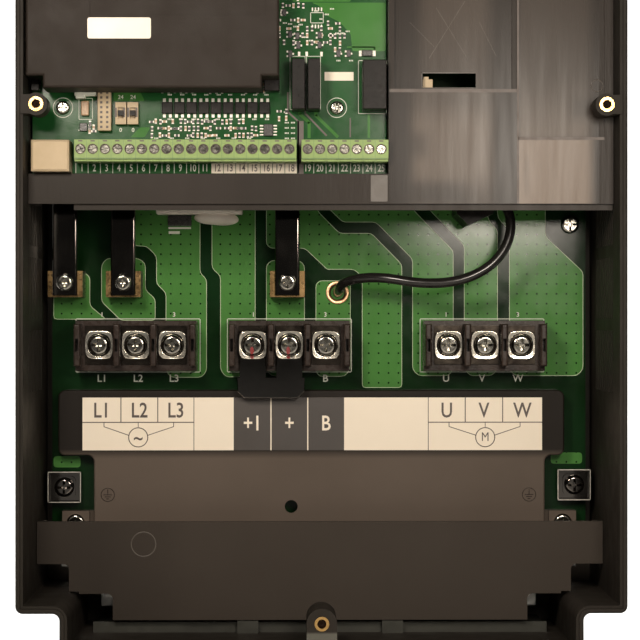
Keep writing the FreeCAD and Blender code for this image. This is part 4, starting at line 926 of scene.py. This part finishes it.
# %% [markdown]
# ## Polished panels of the tray, with painted reflections
# Four stepped panels close the right side of the tray. They are polished plastic, and the
# reflection of the lights on them is painted into their colour, bright in places and dull in
# others. A fine grid over each panel carries one number per corner, the painted reflection, and
# the finish turns it into a paler colour.

# %% Panel finish
# The panel finish is glossy, and its colour also carries a painted reflection.
gloss_and_painted_reflection = finish("gloss_and_painted_reflection", (0.022, 0.017, 0.014), (0.028, 0.022, 0.018), (0.22, 0.30),
                     1400, 0.04, mottle=70, stretch=(1, 1, 0.06), Specular_IOR_Level=0.12)
panel_tree = gloss_and_painted_reflection.node_tree
panel_shader = panel_tree.nodes["Principled BSDF"]
panel_base = panel_shader.inputs["Base Color"].links[0].from_socket
# A painted reflection: each panel's per-point value blends the colour towards a pale brown.
painted_reflection_value = panel_tree.nodes.new("ShaderNodeAttribute")
painted_reflection_value.attribute_name = "painted_reflection"
link(panel_tree, blend_colours(panel_tree, painted_reflection_value.outputs["Fac"], panel_base,
                               (0.200, 0.155, 0.123)), panel_shader.inputs["Base Color"])


# %% Panel surfaces
def hump(value, start, stop, fade):
    """One between start and stop and zero outside, with a smooth step of the fade's width
    at either end: 3t squared less 2t cubed."""
    up = np.clip((value - start) / fade + 0.5, 0, 1)
    down = np.clip((stop - value) / fade + 0.5, 0, 1)
    return (3 * up ** 2 - 2 * up ** 3) * (3 * down ** 2 - 2 * down ** 3)


def panel_with_painted_reflection(name, limits, depth, painted_reflection, hole=None):
    """A grid over x and z at the depth in millimetres behind the rim, without the cells in the
    hole, given a thickness. The painted reflection is a function of x and z."""
    x0, x1, z0, z1 = limits
    xs, zs = np.linspace(x0, x1, 61), np.linspace(z0, z1, 61)
    if hole:
        xs, zs = np.union1d(xs, hole[:2]), np.union1d(zs, hole[2:])
    x, z = np.meshgrid(xs, zs)
    columns = len(xs)
    i, j = np.meshgrid(np.arange(columns - 1), np.arange(len(zs) - 1))
    corner = (j * columns + i).ravel()
    quads = np.column_stack([corner, corner + 1, corner + columns + 1, corner + columns])
    if hole:
        middle_x, middle_z = x.ravel()[quads].mean(1), z.ravel()[quads].mean(1)
        keep = ~((middle_x > hole[0]) & (middle_x < hole[1]) & (middle_z > hole[2])
                 & (middle_z < hole[3]))
        quads = quads[keep]
    points = np.column_stack([x.ravel() * mm, np.full(x.size, rim + depth * mm), z.ravel() * mm])
    used, quads = np.unique(quads, return_inverse=True)
    panel = add_piece(name, points[used], quads.reshape(-1, 4).tolist(), gloss_and_painted_reflection)
    # The painted reflection at each point of the grid.
    value = painted_reflection(x.ravel()[used], z.ravel()[used]).astype(np.float32)
    attribute = panel.data.attributes.new("painted_reflection", "FLOAT", "POINT")
    attribute.data.foreach_set("value", value)
    solid = panel.modifiers.new("thickness", "SOLIDIFY")
    solid.thickness = 0.05 * mm
    return panel


def upper_left(x, z):
    """Painted reflection: dull at both sides, a little brighter along the middle."""
    return 0.20 * hump(x, 42, 70, 9) * (0.6 + 0.4 * hump(z, 250, 300, 40))


def lower_left(x, z):
    """Painted reflection: bright in the middle, dimmed low down and at the left."""
    bright = 0.42 * hump(x, 38, 71, 7) * (0.45 + 0.55 * hump(z, 195, 224, 14))
    low_dimming = 1 - 0.75 * hump(x + 0.5 * (z - 190), 36, 62, 14) * hump(z, 186, 195, 6)
    left = 1 - 0.6 * hump(x, 34, 44, 8) * hump(z, 206, 216, 8)
    return bright * low_dimming * left


def upper_right(x, z):
    """Painted reflection, brightest at its lower left and fading up and towards the wall, dimmed
    beside the boss.
    """
    boss_shade = 1 - 0.6 * hump(x, 104, 114, 7) * hump(z, 222, 231, 6)
    return (0.13 + 0.26 * hump(z, 150, 226, 34)) * hump(x, 70, 112, 7) * boss_shade


def lower_right(x, z):
    """Painted reflection, bright all over, but for a dull band beside the wall and one faint
    streak.
    """
    streak = 1 - 0.25 * hump(x, 84.5, 86.5, 2) * hump(z, 190, 206, 8)
    return 0.88 * hump(x, 70, 112.5, 6) * streak


panel_low = 186.4
slot_hole = (42.2, 64.5, 234.9, 240.8)
panels = {
    "panel_upper_left": ((28.3, 79.3, 234.2, 375.6), 21.95, upper_left, slot_hole),
    "panel_lower_left": ((28.3, 81.6, panel_low, 233.4), 19.95, lower_left, None),
    "panel_upper_right": ((82.1, 115.9, 214.2, 361.0), 20.95, upper_right, None),
    "panel_lower_right": ((82.4, 115.9, panel_low, 213.3), 19.95, lower_right, None),
}
for name, (limits, depth, painted_reflection, hole) in panels.items():
    panel_with_painted_reflection(name, limits, depth, painted_reflection, hole)
plates("panel_grooves", [rectangle(28.3, 81.6, 232.7, 234.1),
                         rectangle(82.1, 118.0, 212.9, 214.1),
                         rectangle(81.5, 82.4, panel_low, 361.0)],
       rim + 19.9 * mm, 0.05 * mm, ink_and_painted_shade)
scratches = [(0.10, [(48, 268), (61, 247)]), (0.10, [(60, 271), (45, 247)]),
             (0.08, [(37, 262), (47, 252)]), (0.08, [(66, 262), (73, 248)])]
scratch_grey = finish("scratch_grey", (0.10, 0.085, 0.07), (0.16, 0.13, 0.11), (0.3, 0.5), 900,
                      0.1)
plates("panel_scratches", bands(scratches), rim + 21.88 * mm, 0.03 * mm, scratch_grey)
print(len(panels), "panels")

# %% [markdown]
# ## Clamping washers
# Under each power screw sits a pressed square washer with rounded corners and a cupped middle.
# Its rolled edge catches the light as a bright line, so the flat solid is replaced by a pressed
# one of about the same size, which rides on the same body.


# %% Pressed washers
def pressed_washer(name, half_size, inner):
    """Rings that blend from a circle of the inner radius to a rounded square: at share t a
    point at angle a is (1 - t) times the circle plus t times half_size / (|cos a|^n +
    |sin a|^n)^(1/n). A profile gives each ring's share and height above the seat."""
    low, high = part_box(name)
    x, z, seat = (low.x + high.x) / 2 / mm, (low.z + high.z) / 2 / mm, high.y
    profile = np.array([(0, 0.02), (0, 0.55), (0.10, 0.90), (0.25, 1.02), (0.55, 0.88),
                        (0.75, 1.00), (0.88, 0.98), (0.96, 0.75), (1, 0.40), (1, 0.02)])
    sides, power = 72, 5.0
    angle = np.arange(sides) * 2 * math.pi / sides
    square = half_size / (np.abs(np.cos(angle)) ** power
                          + np.abs(np.sin(angle)) ** power) ** (1 / power)
    share = profile[:, :1]
    radius = (1 - share) * inner + share * square[None]
    height = np.repeat(profile[:, 1:] * (high.y - low.y), sides, 1)
    ring = np.stack([x * mm + radius * np.cos(angle) * mm, seat - height,
                     z * mm + radius * np.sin(angle) * mm], -1)
    rows = len(profile)
    i, j = np.meshgrid(np.arange(rows), np.arange(sides), indexing="ij")
    after = (i + 1) % rows
    quads = np.stack([i * sides + j, i * sides + (j + 1) % sides, after * sides + (j + 1) % sides,
                      after * sides + j], -1).reshape(-1, 4)
    washer = add_piece("pressed_" + name, ring.reshape(-1, 3), quads.tolist(), washer_metal,
                       name, smooth=True)
    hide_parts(name)
    return washer


washer_metal = finish("washer_metal", (0.52, 0.49, 0.42), (0.66, 0.62, 0.54), (0.14, 0.24), 800,
                      0.06, metallic=1.0, mottle=160)
washer_half, washer_bore = 6.25, 4.85
for group in ("input", "dc", "output"):
    for number in (1, 2, 3):
        pressed_washer(f"{group}_washer_{number}", washer_half, washer_bore)

# Painted highlight: a thin bright frame on each earth block stands for the glint along its rim.
earth_half_width, earth_half_height, earth_line = 7.3, 6.8, 0.35
earth_lines = []
for x, z in ((-112.4, 64.3), (112.4, 65.2)):
    earth_lines += frame_lines(x - earth_half_width, x + earth_half_width,
                               z - earth_half_height, z + earth_half_height, earth_line)
plates("earth_rim_highlights", earth_lines, face_of("earth_blocks") - 0.03 * mm, 0.03 * mm, solder)
print("washers and earth rims")

# %% [markdown]
# ## Marks and small fittings
# A drop of red paint across a screw and its washer shows that the link was tightened. The drop is
# two pieces, one for each body, so that it parts when the screw turns.

# %% Red paint
for number, x in ((1, -29.6), (2, -13.8)):
    washer_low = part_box(f"dc_washer_{number}")[0]
    screw_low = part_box(f"dc_screw_{number}")[0]
    plates(f"paint_washer_{number}", [[(x - 0.8, 121.2), (x + 0.7, 121.0), (x + 0.9, 122.6),
                                       (x - 0.6, 122.6)]],
           washer_low.y - 0.05 * mm, 0.3 * mm, red_paint, 0.3,
           f"dc_washer_{number}")
    plates(f"paint_screw_{number}", [[(x - 0.5, 123.0), (x + 0.5, 123.0), (x + 0.9, 124.6),
                                      (x + 0.3, 126.4), (x - 0.6, 126.0), (x - 0.9, 124.4)]],
           screw_low.y - 0.02 * mm, 0.3 * mm, red_paint, 0.3,
           f"dc_screw_{number}")

# %% Bores, blocks, sticker and slot
# Painted shade: a dark disc a millimetre inside each insert's bore stands for the shade at its
# bottom.
bore_shade_paint = finish("bore_shade_paint", (0.010, 0.005, 0.003), (0.018, 0.009, 0.005), (0.5, 0.7), 900,
                   0.1, Specular_IOR_Level=0.05)
turned("insert_bore_shade", [(0.02, 1.0), (1.83, 1.0), (1.83, 1.2), (0.02, 1.2)],
       [(-116.55, 226.0, rim), (116.55, 226.0, rim), (0.0, 13.8, rim)], bore_shade_paint)
box_cloud("cover_blocks", [(-20.6, 236.6, 6.4, 6.4, 8.0), (-119.2, 236.6, 3.6, 6.4, 8.0)],
          control_face, black_plastic, bevel=0.4)
cover_face = face_of("option_cover")
plates("blank_sticker", [rectangle(-96.0, -70.0, 253.2, 261.8)], cover_face - 0.06 * mm,
       0.06 * mm, label_cream, radius=1.0)
box_cloud("slot_connector", [(44.6, 236.8, 4.2, 3.6, 1.0), (43.9, 239.0, 2.2, 1.4, 1.0)],
          rim + 26 * mm, cream_plastic, bevel=0.2)
grey_marks_and_painted_reflection = finish("grey_marks_and_painted_reflection", (0.080, 0.067, 0.057), (0.095, 0.080, 0.068), (0.35, 0.5), 900,
                  0.15, mottle=40)
# Painted reflection: a pale grey patch on the tray's band stands for a glossy reflection there.
plates("tray_painted_reflection", [rectangle(20.6, 27.6, 187.2, 198.2)], rim + 19.9 * mm, 0.06 * mm, grey_marks_and_painted_reflection,
       radius=0.5)
plates("slot_edge", [rectangle(41.9, 64.6, 240.8, 241.15), rectangle(41.9, 42.2, 234.9, 241.15)],
       rim + 21.86 * mm, 0.04 * mm, grey_marks_and_painted_reflection)
turned("moulding_rings", [(2.3, -0.05), (2.7, -0.05), (2.7, 0.0), (2.3, 0.0)],
       [(115.0, 235.6, rim + 20.9 * mm)], grey_marks_and_painted_reflection, sides=40)
turned("deck_rings", [(5.0, -0.03), (5.5, -0.03), (5.5, 0.0), (5.0, 0.0)],
       [(-76.0, 41.5, face_of("cable_deck"))], grey_marks_and_painted_reflection, sides=48)
print("small fittings")

# %% [markdown]
# ### Earth signs
# Beside each earth screw the guard carries the moulded earth sign: a ring with a stem and three
# bars inside it, each shorter than the last.

# %% Earth signs
guard_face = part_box("terminal_label")[1].y
z = 61.0
for sign, x in (("left", -93.2), ("right", 92.4)):
    plates(f"earth_sign_{sign}", bands([(0.4, [(x, z + 2.3), (x, z)]),
                                        (0.4, [(x - 1.9, z), (x + 1.9, z)]),
                                        (0.4, [(x - 1.25, z - 0.9), (x + 1.25, z - 0.9)]),
                                        (0.4, [(x - 0.6, z - 1.8), (x + 0.6, z - 1.8)])]),
           guard_face - 0.06 * mm, 0.06 * mm, block_plastic)
    turned(f"earth_ring_{sign}", [(2.75, -0.06), (3.1, -0.06), (3.1, 0.0), (2.75, 0.0)],
           [(x, z, guard_face)], block_plastic, sides=40)

# %% [markdown]
# ### Filter part at the tray's edge
# A ceramic-cased filter part peeps out below the tray, held by a blob of white silicone. The
# plain solid is replaced by a thin case, a chip below it and the blob, a flattened sphere whose
# radius wavers with the angle.

# %% Filter part
surge_low, surge_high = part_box("surge_absorber")
sx0, sx1 = surge_low.x / mm, surge_high.x / mm
case_rise = (surge_high.y - surge_low.y) / mm
case_low, case_top = 184.6, surge_high.z / mm
case = box_cloud("filter_case", [((sx0 + sx1) / 2, (case_low + case_top) / 2, sx1 - sx0,
                                  case_top - case_low, case_rise)], surge_high.y,
                 ceramic_white, bevel=0.6)
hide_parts("surge_absorber")
around, rows = 48, 25
u, v = np.meshgrid(np.linspace(0, 2 * math.pi, around, endpoint=False),
                   np.linspace(0, math.pi, rows), indexing="ij")
waver = 1 + 0.10 * np.cos(2 * u + 0.7) + 0.06 * np.cos(3 * u + 2.0)
blob = np.stack([(-45.5 + 9.0 * waver * np.cos(u) * np.sin(v)) * mm,
                 power_face - (5.0 + 4.8 * np.cos(v)) * mm,
                 (183.2 + 3.8 * waver * np.sin(u) * np.sin(v)) * mm], -1)
i, j = np.meshgrid(np.arange(around), np.arange(rows - 1), indexing="ij")
quads = np.stack([i * rows + j, i * rows + j + 1, (i + 1) % around * rows + j + 1,
                  (i + 1) % around * rows + j], -1).reshape(-1, 4)
blob_piece = add_piece("silicone_blob", blob.reshape(-1, 3), quads.tolist(), ceramic_white,
                       smooth=True)
shell = bmesh.new()
shell.from_mesh(blob_piece.data)
bmesh.ops.remove_doubles(shell, verts=shell.verts, dist=1e-7)
bmesh.ops.recalc_face_normals(shell, faces=shell.faces)
shell.to_mesh(blob_piece.data)
shell.free()
box_cloud("filter_chip", [(-62.0, 182.0, 10.4, 4.6, 2.4)], power_face, resistor_body,
          bevel=0.4)
plates("filter_mark", [rectangle(-67.0, -57.0, 178.4, 179.2),
                       rectangle(-66.9, -62.0, 176.2, 177.4)],
       silk, 0.03 * mm, silk_white)
print("filter part")

# %% [markdown]
# ## Floor, backdrop and lights
# A pale floor lies under the drive. From under the drive backwards a strip of floor glows, and so
# does the wall, which gives a plain white background. Two small soft lights stand left and right,
# 0.42 m in front of the rim, and a weaker third one stands beside the lens, so that plastic shows
# a sheen and metal stays dark except along its edges.


# %% Stage
def stage_plate(name, corners, material):
    """A flat rectangle of the stage."""
    mesh = bpy.data.meshes.new(name)
    mesh.from_pydata(corners, [], [(0, 1, 2, 3)])
    mesh.materials.append(material)
    plate = bpy.data.objects.new(name, mesh)
    bpy.context.scene.collection.objects.link(plate)
    return plate


pale = bpy.data.materials.new("pale_floor")
pale.use_nodes = True
pale_shader = pale.node_tree.nodes["Principled BSDF"]
pale_shader.inputs["Base Color"].default_value = (0.8, 0.79, 0.77, 1)
pale_shader.inputs["Roughness"].default_value = 0.7
wall_white = bpy.data.materials.new("wall_white")
wall_white.use_nodes = True
wall_shader = wall_white.node_tree.nodes["Principled BSDF"]
wall_shader.inputs["Base Color"].default_value = (0.9, 0.89, 0.87, 1)
wall_shader.inputs["Emission Color"].default_value = (1.0, 0.99, 0.97, 1)
wall_shader.inputs["Emission Strength"].default_value = 0.95
reach, wall_y, glow_start, glow_height = 6, 2.5, -0.04, 0.0002
stage_plate("floor", [(-reach, -reach, 0), (reach, -reach, 0), (reach, reach, 0),
                      (-reach, reach, 0)], pale)
stage_plate("lit_floor", [(-reach, glow_start, glow_height), (reach, glow_start, glow_height),
                          (reach, wall_y, glow_height), (-reach, wall_y, glow_height)],
            wall_white)
stage_plate("backdrop", [(-reach, wall_y, 0), (reach, wall_y, 0), (reach, wall_y, reach),
                         (-reach, wall_y, reach)], wall_white)


# %% Lights
def soft_light(name, place, aim, size, watts, colour):
    """A rectangular area light at a place, turned to face the aim."""
    data = bpy.data.lights.new(name, "AREA")
    data.shape = "RECTANGLE"
    data.size, data.size_y = size
    data.energy = watts
    data.color = colour
    light = bpy.data.objects.new(name, data)
    light.location = place
    direction = Vector(aim) - Vector(place)
    light.rotation_euler = direction.to_track_quat("-Z", "Y").to_euler()
    bpy.context.scene.collection.objects.link(light)
    return light


warm = (1.0, 0.90, 0.78)
aim = (0.0, 0.0, 0.17)
soft_light("left_light", (-0.15, rim - 0.42, 0.33), aim, (0.09, 0.09), 1.45, warm)
soft_light("right_light", (0.12, rim - 0.42, 0.235), aim, (0.09, 0.09), 0.95, warm)
soft_light("front_light", (0.15, rim - 1.02, 0.33), aim, (0.12, 0.10), 0.7, warm)
world = bpy.data.worlds.new("studio")
world.use_nodes = True
world.node_tree.nodes["Background"].inputs["Color"].default_value = (1.0, 0.95, 0.88, 1)
world.node_tree.nodes["Background"].inputs["Strength"].default_value = 0.03
bpy.context.scene.world = world
bpy.context.scene.view_settings.view_transform = "Standard"
print("stage and lights ready")
